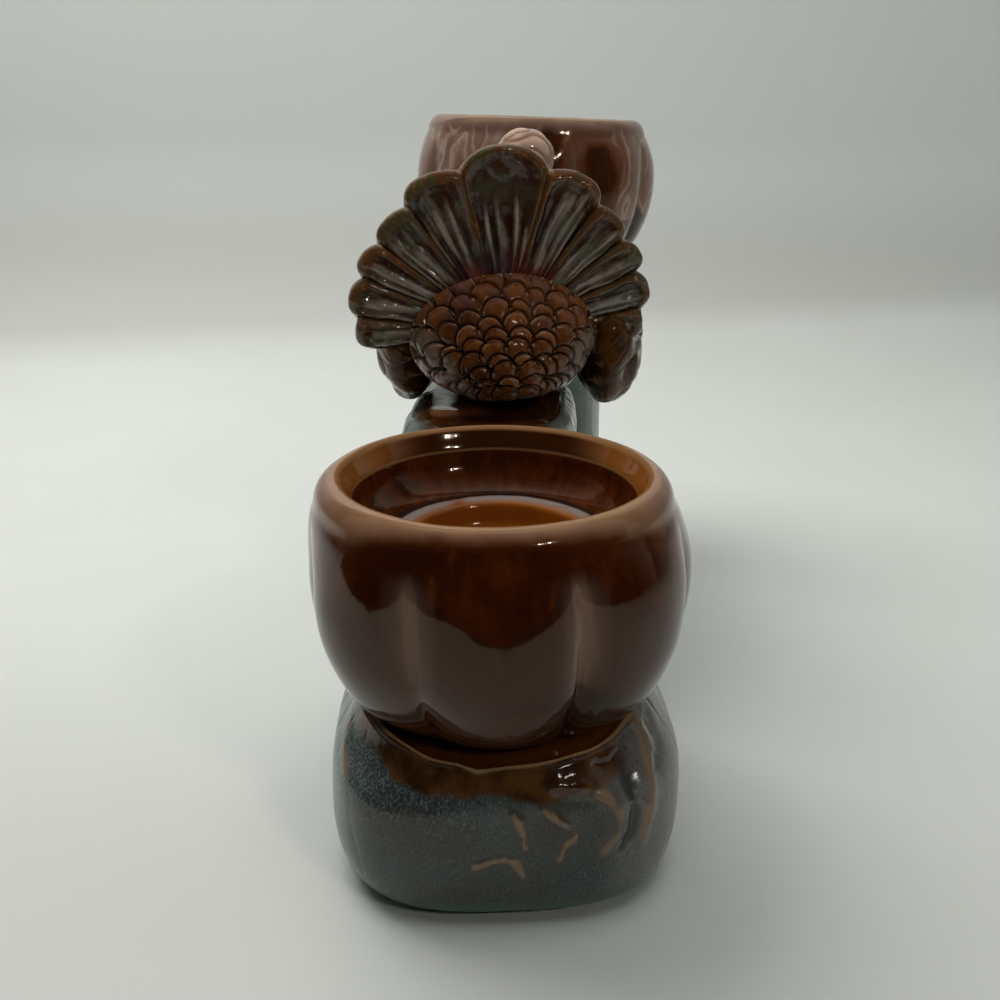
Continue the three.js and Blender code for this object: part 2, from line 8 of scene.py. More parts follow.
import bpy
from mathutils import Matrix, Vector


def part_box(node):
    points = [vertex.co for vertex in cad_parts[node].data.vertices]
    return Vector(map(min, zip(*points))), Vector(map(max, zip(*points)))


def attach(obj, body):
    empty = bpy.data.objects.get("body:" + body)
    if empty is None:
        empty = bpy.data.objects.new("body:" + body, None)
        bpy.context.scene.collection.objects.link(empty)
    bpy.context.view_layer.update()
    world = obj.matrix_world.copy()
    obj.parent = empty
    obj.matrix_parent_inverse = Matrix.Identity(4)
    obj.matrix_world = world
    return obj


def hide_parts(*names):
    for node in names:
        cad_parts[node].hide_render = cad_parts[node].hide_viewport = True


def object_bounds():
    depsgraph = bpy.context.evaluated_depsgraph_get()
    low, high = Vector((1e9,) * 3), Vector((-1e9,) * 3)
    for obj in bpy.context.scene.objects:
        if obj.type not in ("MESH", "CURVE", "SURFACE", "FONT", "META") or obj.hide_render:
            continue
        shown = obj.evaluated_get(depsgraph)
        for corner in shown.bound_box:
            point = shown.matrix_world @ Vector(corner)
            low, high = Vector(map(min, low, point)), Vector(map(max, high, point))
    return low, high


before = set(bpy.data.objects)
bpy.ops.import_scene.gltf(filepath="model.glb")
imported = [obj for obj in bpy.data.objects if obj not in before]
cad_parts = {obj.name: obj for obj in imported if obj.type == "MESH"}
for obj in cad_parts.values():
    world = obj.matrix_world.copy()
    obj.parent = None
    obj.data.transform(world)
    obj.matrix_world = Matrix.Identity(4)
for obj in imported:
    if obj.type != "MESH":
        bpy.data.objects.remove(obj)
cad_box = [list(corner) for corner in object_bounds()]
print("Solids in the frame:", len(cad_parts))

# %% Tools and units
from functools import partial

import bpy
import numpy as np

MM = 0.001  # a millimetre in the frame's metres
TAU = 2 * np.pi
SIDES = ((-1, "left"), (1, "right"))


def corners(node):
    """Lowest and highest corner of a solid, in millimetres."""
    return np.array(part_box(node)) / MM


low, high = np.array(cad_box) / MM
print("Casting in millimetres:", np.round(high - low, 1))

# %% [markdown]
# ## Camera
# The holder is seen end-on, from slightly above and a little to the right of its long axis.
# The camera stands close, so the low cup looks far bigger than the high cup behind it.

# %% Camera
CAMERA_SPOT = (19.4, -338.7, 178.8)
CAMERA_TURN = 4.04
CAMERA_TILT = 20.3  # degrees below the horizon
CAMERA_LENS = 37.55

scene = bpy.context.scene
camera = bpy.data.objects.new("camera", bpy.data.cameras.new("camera"))
camera.location = [value * MM for value in CAMERA_SPOT]
camera.rotation_euler = np.radians([90 - CAMERA_TILT, 0, CAMERA_TURN])
camera.data.lens = CAMERA_LENS
camera.data.clip_start = 0.01
scene.collection.objects.link(camera)
scene.camera = camera
scene.view_settings.view_transform = "Standard"
print("Camera at", CAMERA_SPOT)

# %% [markdown]
# ## Shader sums as Python
# A glaze is a sum of masks: thin over edges, thick in hollows, run down from the lip. A small
# class wraps a socket so that sums of wires add Math nodes, and one method makes any other
# node. Colours are written as on a paint chart, and a glaze is a base under a list of coats.

# %% Wires
class Wire:
    """A number on its way through a node tree. Arithmetic on it adds Math nodes."""

    def __init__(self, mix, socket):
        self.mix = mix
        self.socket = socket

    def join(self, operation, *pair):
        return self.mix.node("ShaderNodeMath", {"operation": operation}, dict(enumerate(pair)))

    def __add__(self, other):
        return self.join("ADD", self, other)

    def __radd__(self, other):
        return self.join("ADD", other, self)

    def __sub__(self, other):
        return self.join("SUBTRACT", self, other)

    def __rsub__(self, other):
        return self.join("SUBTRACT", other, self)

    def __mul__(self, other):
        return self.join("MULTIPLY", self, other)

    def __rmul__(self, other):
        return self.join("MULTIPLY", other, self)

    def __truediv__(self, other):
        return self.join("DIVIDE", self, other)

    def between(self, start, end):
        """0 at start, 1 at end, eased between them and held level outside."""
        ends = {"Value": self, "From Min": start, "From Max": end}
        return self.mix.node("ShaderNodeMapRange", {"interpolation_type": "SMOOTHSTEP"}, ends)


# %% Recipes
GLAZE_IOR = 1.47  # how strongly the fired glass bends light


def tint(colour):
    """A paint chart's colour, 0 to 255 each, as the light it reflects. A wire stays as it is.

    A share s of 255 reflects ((s + 0.055) / 1.055)^2.4, and s / 12.92 near black.
    """
    if isinstance(colour, Wire):
        return colour
    share = np.array(colour) / 255
    linear = np.where(share <= 0.04045, share / 12.92, ((share + 0.055) / 1.055) ** 2.4)
    return (*linear.tolist(), 1.0)


class Recipe:
    """The node tree of a material or of the world, written as expressions on wires."""

    def __init__(self, owner):
        owner.use_nodes = True
        self.owner = owner
        self.tree = owner.node_tree
        self.tree.nodes.clear()

    def node(self, kind, settings=None, inputs=None, out=0):
        """Any node: its type, its settings, then the values or wires of its sockets."""
        made = self.tree.nodes.new(kind)
        for key, value in (settings or {}).items():
            setattr(made, key, value)
        for key, value in (inputs or {}).items():
            if isinstance(value, Wire):
                self.tree.links.new(value.socket, made.inputs[key])
            else:
                made.inputs[key].default_value = value
        return Wire(self, made.outputs[out]) if made.outputs else None

    def height(self, axis="Z"):
        """Position along one axis, in millimetres."""
        spot = self.node("ShaderNodeTexCoord", out="Object")
        return self.node("ShaderNodeSeparateXYZ", {}, {0: spot}, out=axis) / MM

    def mark(self, name):
        """A number that the mesh carries at each of its points."""
        return self.node("ShaderNodeAttribute", {"attribute_name": name}, out="Fac")

    def cloud(self, size, detail=2.0, stretch=(1, 1, 1), rough=0.5):
        """Soft noise from 0 to 1, its lumps about size millimetres wide, stretched or squeezed."""
        spot = self.node("ShaderNodeTexCoord", out="Object")
        spot = self.node("ShaderNodeMapping", {}, {"Vector": spot, "Scale": stretch})
        sockets = {"Vector": spot, "Scale": 1 / (size * MM), "Detail": detail, "Roughness": rough}
        return self.node("ShaderNodeTexNoise", {}, sockets)

    def blend(self, share, base, top):
        """The base colour, with the top colour over it where the share is 1."""
        sockets = {0: share, 6: tint(base), 7: tint(top)}
        return self.node("ShaderNodeMix", {"data_type": "RGBA"}, sockets, out=2)

    def coats(self, base, layers):
        """A base colour under (share, colour) layers, in their order."""
        for share, top in layers:
            base = self.blend(share, base, top)
        return base

    def fire(self, colour, roughness=0.1, relief=None, sheen=(1, 1, 1, 1), gloss=0.5):
        """Joins the glaze to the surface: colour, roughness, relief in millimetres, mirroring."""
        sockets = {"Base Color": tint(colour), "Roughness": roughness, "IOR": GLAZE_IOR}
        sockets.update({"Specular Tint": sheen, "Specular IOR Level": gloss})
        if relief is not None:
            sockets["Normal"] = self.node("ShaderNodeBump", {}, {"Distance": MM, "Height": relief})
        shader = self.node("ShaderNodeBsdfPrincipled", {}, sockets)
        self.node("ShaderNodeOutputMaterial", {}, {"Surface": shader})
        return self.owner


def glaze(name):
    return Recipe(bpy.data.materials.new(name))


# %% [markdown]
# ## Table, backdrop and light
# A pale sheet lies on the table and curves up behind the holder. Its colour carries painted shade
# towards the front and where the table turns into the wall, and painted light higher up the wall.
# A wide soft lamp hangs above and behind on the left, so lips and shoulders shine and the near
# faces stay deep. A dark card in front is seen by reflections only: it is painted shade that stands
# in for the shaded room in front, and it keeps the brown glaze from looking milky.

# %% The sheet
SHEET_HALF = 3000.0
SHEET_BEND_START = 400.0
SHEET_BEND = 160.0  # radius of the curve between table and wall
SHEET_TOP = 1600.0


def staged(name, points, faces, material):
    """A plain object that belongs to the room and not to the holder."""
    mesh = bpy.data.meshes.new(name)
    mesh.from_pydata([[value * MM for value in point] for point in points], [], faces)
    mesh.materials.append(material)
    thing = bpy.data.objects.new(name, mesh)
    scene.collection.objects.link(thing)
    return thing


def sheet_material():
    mix = glaze("paper_sheet")
    up = mix.height()
    tone = mix.coats(mix.blend(mix.cloud(60, 4.0), (221, 224, 218), (228, 231, 226)), [
        # Painted shade: darker towards the front, near the camera.
        (mix.height("Y").between(20, -160), (210, 212, 207)),
        # Painted shade: darker from where the table turns into the wall, starting higher towards the
        # right.
        ((up - mix.height("X") * 0.045 - 12).between(0, 24), (206, 208, 203)),
        # Painted light: lighter again higher up the wall.
        (up.between(60, 160), (232, 236, 232)),
        (mix.cloud(9, 6.0).between(0.70, 0.78) * 0.25, (190, 190, 184)),
    ])
    return mix.fire(tone, 0.6)


turn = np.linspace(0, np.pi / 2, 24)
bend = zip(SHEET_BEND_START + SHEET_BEND * np.sin(turn), SHEET_BEND * (1 - np.cos(turn)))
outline = [(-SHEET_HALF, 0), *bend, (SHEET_BEND_START + SHEET_BEND, SHEET_TOP)]
points = [(side * SHEET_HALF, y, z) for y, z in outline for side in (-1, 1)]
faces = [(2 * k, 2 * k + 1, 2 * k + 3, 2 * k + 2) for k in range(len(outline) - 1)]
sheet = staged("paper_sheet", points, faces, sheet_material())
sheet.data.polygons.foreach_set("use_smooth", np.ones(len(faces), bool))
print("Sheet faces:", len(faces))

# %% The dark card
# Painted shade in reflections: the card stands in for the shaded floor and room in front of the holder,
# and its outline follows that shade.
CARD_OUTLINE = [(-2600, -2600), (2600, -2600), (2600, -300), (900, -350), (500, -420), (200, -420)]
CARD_OUTLINE += [(30, -375), (-185, -400), (-200, -215), (-480, -90), (-2600, -60)]

card_corners = [(x, y, 1.0) for x, y in CARD_OUTLINE]
card_finish = glaze("dark_card").fire((14, 11, 9), 0.9)
card = staged("dark_card", card_corners, [range(len(card_corners))], card_finish)
card.visible_camera = card.visible_diffuse = card.visible_shadow = False
print("The card is seen only in reflections. Corners:", len(CARD_OUTLINE))

# %% Room light
ROOM_FRONT = 0.02  # strength of the room's light, met by the glaze
ROOM_BACK = 0.73
ROOM_SEEN = 0.5  # strength where the camera looks straight at the room

world = scene.world = bpy.data.worlds.new("soft_room")
room = Recipe(world)
heading = room.node("ShaderNodeTexCoord", out="Generated")
ahead, lift = (room.node("ShaderNodeSeparateXYZ", {}, {0: heading}, out=axis) for axis in "YZ")
level = ROOM_FRONT + (ahead + 0.45 * lift).between(-0.2, 0.9) * (ROOM_BACK - ROOM_FRONT)
seen = room.node("ShaderNodeLightPath", out="Is Camera Ray")
sockets = {"Color": tint((236, 240, 238)), "Strength": seen * ROOM_SEEN + (1 - seen) * level}
room.node("ShaderNodeOutputWorld", {}, {"Surface": room.node("ShaderNodeBackground", {}, sockets)})
print("The room is brightest behind the holder:", ROOM_BACK)

# %% Lamps
def lamp(name, spot, aim, width, watts, colour, mirrored):
    """A square lamp at a spot, facing a point, in millimetres; the glaze may mirror it or not."""
    data = bpy.data.lights.new(name, "AREA")
    data.size = width * MM
    data.energy = watts
    data.color = colour
    body = bpy.data.objects.new(name, data)
    place = np.array(spot, float) * MM
    body.location = place
    body.rotation_euler = Vector(np.array(aim, float) * MM - place).to_track_quat("-Z", "Y").to_euler()
    body.visible_glossy = mirrored
    scene.collection.objects.link(body)


KEY_SPOT = (-420, 330, 900)
FILL_SPOT = (120, -260, 1100)
TWIN_SPOTS = [(458, -690, 590), (518, -648, 606)]

lamp("soft_key", KEY_SPOT, (0, 40, 40), 700, 7.9, (1.0, 0.99, 0.97), False)
lamp("soft_fill", FILL_SPOT, (0, -60, 60), 500, 2.4, (0.98, 0.99, 1.0), False)
for number, spot in enumerate(TWIN_SPOTS):
    lamp(f"bulb_{number}", spot, (0, -100, 80), 14, 0.5, (1.0, 0.97, 0.92), True)

# %% [markdown]
# ## Surfaces from grids
# Clay shapes are round and closed, so a piece starts as a grid of points: rows run along the
# piece and each row closes on itself. One helper turns a grid into faces for the frame.

# %% Faces from a grid
def skin(grid, ends):
    """Points and faces of a (rows, columns, 3) grid whose rows close on themselves.

    Each face joins four neighbours. With "caps" a middle point closes the first and the last
    row, and with "loop" the last row joins the first. The faces are turned over when the
    volume that they enclose comes out negative.
    """
    rows, columns = grid.shape[:2]
    number = np.arange(rows * columns).reshape(rows, columns)
    lower = number if ends == "loop" else number[:-1]
    upper = np.roll(number, -1, axis=0)[: len(lower)]
    quads = np.stack([lower, np.roll(lower, -1, 1), np.roll(upper, -1, 1), upper], axis=-1)
    blocks = [quads.reshape(-1, 4)]
    places = grid.reshape(-1, 3)
    if ends == "caps":
        hubs = np.tile(len(places) + np.arange(2)[:, None], (1, columns))
        first, last = number[0], number[-1]
        blocks.append(np.stack([hubs[0], np.roll(first, -1), first], axis=-1))
        blocks.append(np.stack([hubs[1], last, np.roll(last, -1)], axis=-1))
        places = np.vstack([places, grid[0].mean(axis=0), grid[-1].mean(axis=0)])
    volume = 0.0
    for corner in (places[block] for block in blocks):
        for k in range(1, corner.shape[1] - 1):
            volume += np.sum(corner[:, 0] * np.cross(corner[:, k], corner[:, k + 1]))
    return places, [block[:, ::-1] if volume < 0 else block for block in blocks]


def piece(name, parts, material, slot, *nodes):
    """A named object from one or more (grid, marks, ends) parts, in place of some solids.

    Nothing may stand outside the casting's box, so all points are held within it.
    """
    places, faces, marks, count = [], [], {}, 0
    for grid, carried, ends in parts:
        spots, blocks = skin(np.clip(grid, low, high), ends)
        places.append(spots)
        faces += [face for block in blocks for face in (block + count).tolist()]
        count += len(spots)
        for key, value in carried.items():
            value = np.broadcast_to(value, grid.shape[:2])
            hubs = [value[0].mean(), value[-1].mean()] if ends == "caps" else []
            marks.setdefault(key, []).append(np.append(value, hubs))
    mesh = bpy.data.meshes.new(name)
    mesh.from_pydata((np.vstack(places) * MM).tolist(), [], faces)
    for key, values in marks.items():
        mesh.attributes.new(key, "FLOAT", "POINT").data.foreach_set("value", np.concatenate(values))
    mesh.polygons.foreach_set("use_smooth", np.ones(len(faces), bool))
    mesh.materials.append(material)
    thing = bpy.data.objects.new(name, mesh)
    scene.collection.objects.link(thing)
    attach(thing, "root")
    if nodes:
        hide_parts(*nodes)
    print(name, "faces:", len(faces))


# %% Smooth paths and clay
def eased(points, steps):
    """A smooth path through given points, a Catmull-Rom curve, in equal steps between them.

    Between b and c, with a before and d after, it is half of
    2b + (c - a)t + (2a - 5b + 4c - d)t^2 + (3b - a - 3c + d)t^3.
    """
    points = np.asarray(points, float)
    padded = np.concatenate([2 * points[:1] - points[1:2], points, 2 * points[-1:] - points[-2:-1]])
    spot = np.linspace(0, len(points) - 1, steps)
    span = np.minimum(spot.astype(int), len(points) - 2)
    t = (spot - span).reshape(-1, *[1] * (points.ndim - 1))
    a, b, c, d = (padded[span + shift] for shift in range(4))
    cubic = (3 * b - a - 3 * c + d) * t**3
    return 0.5 * (2 * b + (c - a) * t + (2 * a - 5 * b + 4 * c - d) * t**2 + cubic)


def evenly(path, gap):
    """The same path with equal steps of about the gap, measured on its first two columns."""
    along = np.concatenate([[0], np.cumsum(np.hypot(*np.diff(path[:, :2], axis=0).T))])
    spots = np.linspace(0, along[-1], max(int(along[-1] / gap), 2))
    return np.stack([np.interp(spots, along, column) for column in path.T], axis=-1)


def softened(rows, reach):
    """Rounds the corners along the first axis as thick glaze does: a bell-weighted mean."""
    span = int(np.ceil(3 * reach))
    weights = np.exp(-0.5 * (np.arange(-span, span + 1) / reach) ** 2)
    weights /= weights.sum()
    padded = np.pad(rows, [(span, span)] + [(0, 0)] * (rows.ndim - 1), mode="edge")
    return sum(weight * padded[k : k + len(rows)] for k, weight in enumerate(weights))


def lumps(places, size, seed):
    """Gentle unevenness from about -1 to 1: a mean of sine waves in seeded directions."""
    draw = np.random.default_rng(seed)
    ways = draw.normal(size=(12, 3))
    ways *= TAU / size * draw.uniform(0.6, 1.4, (12, 1)) / np.linalg.norm(ways, axis=1)[:, None]
    return np.sin(places @ ways.T + draw.uniform(0, TAU, 12)).mean(axis=-1) * 2.2


def rise(value, start, end):
    """0 at start, 1 at end, with the even S of 3t^2 - 2t^3 between them."""
    t = np.clip((value - start) / (end - start), 0, 1)
    return t * t * (3 - 2 * t)


def bell(value, width):
    """1 at zero, falling away on both sides like a bell: e to the -(value / width)^2."""
    return np.exp(-((value / width) ** 2))


def places_of(x, y, z):
    """Three coordinates as places; each may be a number, a row, a column or a grid."""
    return np.stack(np.broadcast_arrays(x, y, z), axis=-1)


def circle(count):
    """Equal turns round a circle."""
    return np.arange(count) * TAU / count


def swept(surface, tilts, count):
    """A surface of two angles as a grid: rows at the tilts, columns round the turn."""
    return surface(*np.broadcast_arrays(tilts[:, None], circle(count)[None, :]))


def unit(ways):
    """The same directions with length one."""
    return ways / np.maximum(np.linalg.norm(ways, axis=-1, keepdims=True), 1e-9)


# %% [markdown]
# ## Pumpkin cups
# Both cups come from one pattern: seven or eight lobes round a turned cup with a rounded lip,
# a sloping ledge, a well and a recess for the tealight. One profile runs from the hidden
# underside of the cup, round the foot, up the lobed wall, over the lip and down to the middle
# of the recess, so the whole pumpkin is one closed surface. The creases are then pressed in.

# %% Pumpkin sizes
CUP_RADIUS = 47.5
GROOVE_DEPTH = 5.2
LIP_HEIGHT = 6.0
LIP_ROLL = 1.5
CUP_WALL = 3.5
SHELL_WALL = 5.0
WELL_RADIUS = 34.2
WELL_DEPTH = 15.5
WELL_FILLET = 2.4
BEVEL = (2.2, 3.9)  # width and drop of the ledge inside the lip
RECESS = (21.5, 7.0)  # radius and depth
DRAIN = 12.0
# Up the lobed wall: height, radius and depth of the grooves
WALL_SHARES = [
    (0, 0.653, 0.15), (0.045, 0.758, 0.45), (0.12, 0.853, 0.85),
    (0.243, 0.926, 1), (0.405, 0.981, 0.85), (0.587, 1, 0.76),
    (0.769, 0.985, 0.52), (0.92, 0.942, 0.16), (1, 0.905, 0),
]
WELL_BOWL = [(-0.6, 6.2), (-2.2, 3.4), (-4.4, 1.3), (-7.0, 0.2), (-8.4, 0)]  # corner of the well
CLAY_ROUNDING = 2.2  # how far glaze rounds the profile's corners, in its fine steps
FINE_STEP = 0.3
SHOWN_STEP = 0.75
HIDDEN_STEP = 4.5
PUMPKIN_COLUMNS = 380
print("A cup is", 2 * CUP_RADIUS, "mm wide")

# %% Pumpkin profile
def pumpkin_profile(seat, rim):
    """Half section as rows of (radius, height, groove depth share, inside share).

    Inside is 0 up to the crest of the lip and 1 beyond it, down to the recess.
    """
    wall = eased(WALL_SHARES, 90)
    wall = places_of(wall[:, 1] * CUP_RADIUS, seat + wall[:, 0] * (rim - seat - LIP_HEIGHT), wall[:, 2])
    inner = wall[8:80:6][::-1] - [SHELL_WALL, 0, 0]
    inner = inner[inner[:, 1] > seat + SHELL_WALL]
    deep = rim - WELL_DEPTH - CUP_WALL
    body = WELL_RADIUS + CUP_WALL
    recess_wall = RECESS[0] + CUP_WALL
    under = [(0, deep - RECESS[1], 0), (recess_wall, deep - RECESS[1], 0), (recess_wall, deep, 0)]
    under += [(body - WELL_FILLET, deep, 0), (body, deep + WELL_FILLET, 0)]
    under += [(body, rim - LIP_HEIGHT - 4, 0), *inner.tolist()]
    under += [(DRAIN, seat + SHELL_WALL, 0), (DRAIN, seat, 0)]
    under = evenly(np.array(under, float), HIDDEN_STEP)
    turn = np.linspace(0, np.pi / 2, 14)
    crest = WELL_RADIUS + BEVEL[0] + LIP_ROLL
    edge = wall[-1, 0]
    lip = np.stack([crest + (edge - crest) * np.cos(turn), rim - LIP_HEIGHT * (1 - np.sin(turn))], 1)
    roll = np.stack([crest - LIP_ROLL * np.sin(turn), rim + LIP_ROLL * (np.cos(turn) - 1)], 1)
    floor = rim - WELL_DEPTH
    low_floor = floor - RECESS[1]
    inside = [(WELL_RADIUS, rim - LIP_ROLL - BEVEL[1])]
    inside += [(WELL_RADIUS + across, floor + up) for across, up in WELL_BOWL]
    inside += [(RECESS[0], floor), (RECESS[0] - 1.0, low_floor + 2)]
    inside += [(RECESS[0] - 3, low_floor), (0.4, low_floor)]
    shown = np.vstack([wall[:, :2], lip[1:], roll[1:], inside])
    grooves = np.concatenate([wall[:, 2], np.zeros(len(shown) - len(wall))])
    within = (np.arange(len(shown)) >= len(wall) + len(lip) - 1).astype(float)
    shown = evenly(np.column_stack([shown, grooves, within]), FINE_STEP)
    shown = evenly(softened(shown, CLAY_ROUNDING), SHOWN_STEP)
    return np.vstack([np.column_stack([under, np.zeros(len(under))]), shown])


# %% Lobes
SWELLS = [(46, 0.32), (19, 0.12)]  # size and height of the clay's unevenness
MOUTH_SAG = (22.0, 3.0)  # depth below the rim where the sag starts, and where it is full
# The tan and its amber band reach deeper towards the sides, partly as painted sheen.
TAN_ENDS = [(16, 30, 44, 70), (1.1, 2.6, 5.0, 5.6)]  # degrees from the front, and depth of the tan
REAR_TAN_END = 2.0


def lobes(turn, grooves, softness):
    """For each turn: 0 at a groove to 1 in the middle of a lobe, and that lobe's number.

    The share of the way to the middle is s, and the root of s^2 + k^2 rounds the crease.
    """
    edges = np.array([*grooves, grooves[0] + 360.0])
    turned = (turn - edges[0]) % 360 + edges[0]
    lobe = np.clip(np.searchsorted(edges, turned, side="right") - 1, 0, len(grooves) - 1)
    share = (turned - edges[lobe]) / (edges[lobe + 1] - edges[lobe])
    near = 2 * np.minimum(share, 1 - share)
    k = np.asarray(softness)[np.where(share < 0.5, lobe, (lobe + 1) % len(grooves))]
    return np.clip((np.sqrt(near**2 + k**2) - 0.35 * k) / (np.sqrt(1 + k**2) - 0.35 * k), 0, 1), lobe


def pumpkin_grid(centre, seat, rim, grooves, softness, warp, seed):
    """The closed surface: the profile turned about the cup's axis, less the creases.

    At a share s of the way from a crease to the middle of its lobe the wall dips by
    1 - sqrt(1 - (1 - s)^2) of the groove's depth, so each lobe bulges like an arc. The warp
    moves the mouth sideways and up, and tips it to the back and to the right, as soft clay sags.
    """
    turn = np.arange(PUMPKIN_COLUMNS) * 360 / PUMPKIN_COLUMNS
    near, lobe = lobes(turn, grooves, softness)
    dip = 1 - np.sqrt(1 - (1 - near) ** 2)
    radius, height, groove, inside = (column[:, None] for column in pumpkin_profile(seat, rim).T)
    reach = radius - groove * GROOVE_DEPTH * dip
    s, c = np.sin(np.radians(turn)), np.cos(np.radians(turn))
    grid = places_of(reach * s, -reach * c, height - seat)
    swell = sum(lumps(grid, size, seed + k) * tall for k, (size, tall) in enumerate(SWELLS))
    reach = reach + swell * rise(radius, 6, 30)
    mouth = rise(height, *(rim - depth for depth in MOUTH_SAG))
    slack = (lumps(grid, 60, seed + 2) - 1) * 0.2 + warp[1] - warp[2] * c + warp[3] * s
    around = np.abs((turn + 180) % 360 - 180 - 3)
    tan_end = np.interp(around, *TAN_ENDS) if warp[0] else REAR_TAN_END
    below = rim - height + 0 * turn
    marks = {
        "inside": inside,
        "below": below,
        "tan": below - tan_end - lumps(grid, 17, seed + 3) * 0.8,
        "reach": radius,
        "fold": 1 - near + 0 * groove,
        "pink_and_sheen": rise(around, 52, 68) * rise(around, 108, 84) + 0 * height,
    }
    side = centre[0] + reach * s + warp[0] * mouth
    return places_of(side, centre[1] - reach * c, height + slack * mouth), marks, near, lobe


# %% [markdown]
# ## Pumpkin glaze
# The brown glaze is thick on the lobes and turns treacle-dark. Up the creases a pale mauve is
# painted as a reflection. On the high cup the pale mauve over most of it is partly glaze, partly
# painted reflection. The glaze runs off the lip, which is left tan and pink, the pink and the tan's
# deeper reach on the sides partly painted sheen, and a pale ring lies on the amber floor of the
# well, round the recess. Marks on the mesh say where, and noise makes the borders crisp.

# %% Pumpkin glaze
CUP_MARKS = ["run", "below", "inside", "reach", "foot", "pink_and_sheen", "fold", "treacle", "tan"]
WARM_SHEEN = (1, 0.82, 0.66, 1)  # the brown glaze mirrors the room in a warm tone
VEINS = (0.42, 0.5, 0.585)  # levels of the slow noise where a pale swirl runs


def pumpkin_glaze(name, dark, glow, pale, haze, lip_tint, lip_glow, streaks):
    mix = glaze(name)
    run, below, inside, reach, foot, side_pink_and_sheen, fold, treacle, tan = map(mix.mark, CUP_MARKS)
    drift = mix.cloud(16, 3.0)
    grain = mix.cloud(0.8, 3.0, (1, 1, 0.6), 0.7)
    hair = mix.cloud(3.2, 3.0, (1, 1, 0.12), 0.6)
    vein = mix.cloud(26, 2.0, (1, 1, 0.45)) + (mix.cloud(7, 3.0) - 0.5) * 0.12
    fold = fold + (hair - 0.5) * 0.2
    treacle = treacle + (mix.cloud(8, 3.0) - 0.5) * 0.7 + (hair - 0.5) * 1.1
    tan = tan + (drift - 0.5) * 2
    brown = mix.coats(dark, [
        ((hair * 0.25 + drift).between(0.52, 0.95), glow),
        (grain.between(0.45, 0.75) * 0.35, (16, 5, 1)),
    ])
    # Below the run; on the high cup this pale mauve is partly painted reflection.
    soft = mix.blend(drift.between(0.35, 0.75) * 0.6, pale, haze)
    for level in VEINS:
        line = vein.between(level - 0.016, level) * vein.between(level + 0.03, level)
        soft = mix.blend(line * streaks * 0.6, soft, (184, 156, 142))
    soft = mix.blend(vein.between(0.5, 0.62) * streaks * 0.7, soft, glow)
    # Painted reflection: a pale mauve streak up each crease, 8 to 42 mm below the rim.
    crease = below.between(8, 14) * below.between(42, 24)
    # Partly glaze, partly painted sheen: about 52 to 108 degrees from the front, the sides turn pink
    # below the lip and on it.
    pink_and_sheen = side_pink_and_sheen * (drift * 0.5 + 0.65) * below.between(30, 14)
    lip = mix.coats(lip_tint, [
        (side_pink_and_sheen * 0.7, (120, 87, 73)),
        (drift.between(0.45, 0.65) * 0.35, (104, 68, 42)),
    ])
    outside = mix.coats(soft, [
        ((run + (mix.cloud(5, 4.0) - 0.5) * 5).between(-0.8, 0.8), brown),
        (fold.between(0.62, 0.95) * crease * 0.5, (108, 84, 74)),
        (fold.between(0.84, 0.96) * crease * 0.5, (136, 104, 84)),
        (pink_and_sheen * (0.8 - 0.8 * streaks), (108, 76, 60)),
        (treacle.between(0.1, 0.55) * 0.85, (98, 50, 18)),
        (treacle.between(0.45, 0.95) * 0.8, (48, 21, 5)),
        (foot, mix.blend(drift.between(0.4, 0.7), (34, 15, 5), (62, 32, 12))),
        (tan.between(4.0, 0.6) * 0.9, lip_glow),
        ((tan + (drift - 0.5) * 3).between(2.3, -1.6), lip),
        # Partly thin glaze, partly painted highlight: a pale line along the crest of the lip.
        (below.between(0.9, 0.2) * 0.6, (160, 124, 92)),
    ])
    across = mix.height("X")
    # Painted sheen: the ledge inside the lip is golden towards the left and right, dark in the middle.
    ledge = mix.blend((across * across).between(300, 1000), (56, 26, 6), (132, 78, 26))
    wall = mix.coats((44, 17, 4), [
        ((hair + drift).between(0.7, 1.25), (82, 36, 9)),
        (mix.cloud(0.6, 2.0, (1, 1, 0.5)).between(0.60, 0.72) * 0.6, (20, 8, 2)),
        ((below + drift * 0.6).between(6.3, 5.7), ledge),
        # Painted highlight: a pale line along the inner edge of the ledge, where it meets the well's
        # wall.
        (below.between(5.0, 5.5) * below.between(6.1, 5.7) * 0.5, (150, 110, 74)),
        (below.between(1.3, 0.5), (132, 92, 56)),
    ])
    shore = reach + (drift - 0.5) * 2.4
    ring = mix.blend(drift.between(0.54, 0.66), (130, 123, 118), (122, 64, 42))
    floor = mix.coats((146, 82, 18), [
        (mix.cloud(22, 2.0).between(0.35, 0.7), (124, 66, 14)),
        (shore.between(21.2, 24.4) * 0.85, ring),
    ])
    bowl = mix.coats(wall, [
        (shore.between(26.6, 25.6), floor),
        # Painted shade: a dark line in the corner between the well's wall and its floor.
        (shore.between(26.0, 26.6) * shore.between(28.4, 27.2) * 0.8, (18, 12, 12)),
    ])
    colour = mix.blend(inside.between(0.3, 0.7), outside, bowl)
    relief = mix.cloud(11, 2.0) * 0.16 + mix.cloud(1.3, 2.0) * 0.006
    return mix.fire(colour, grain * 0.03 + 0.065, relief, WARM_SHEEN)


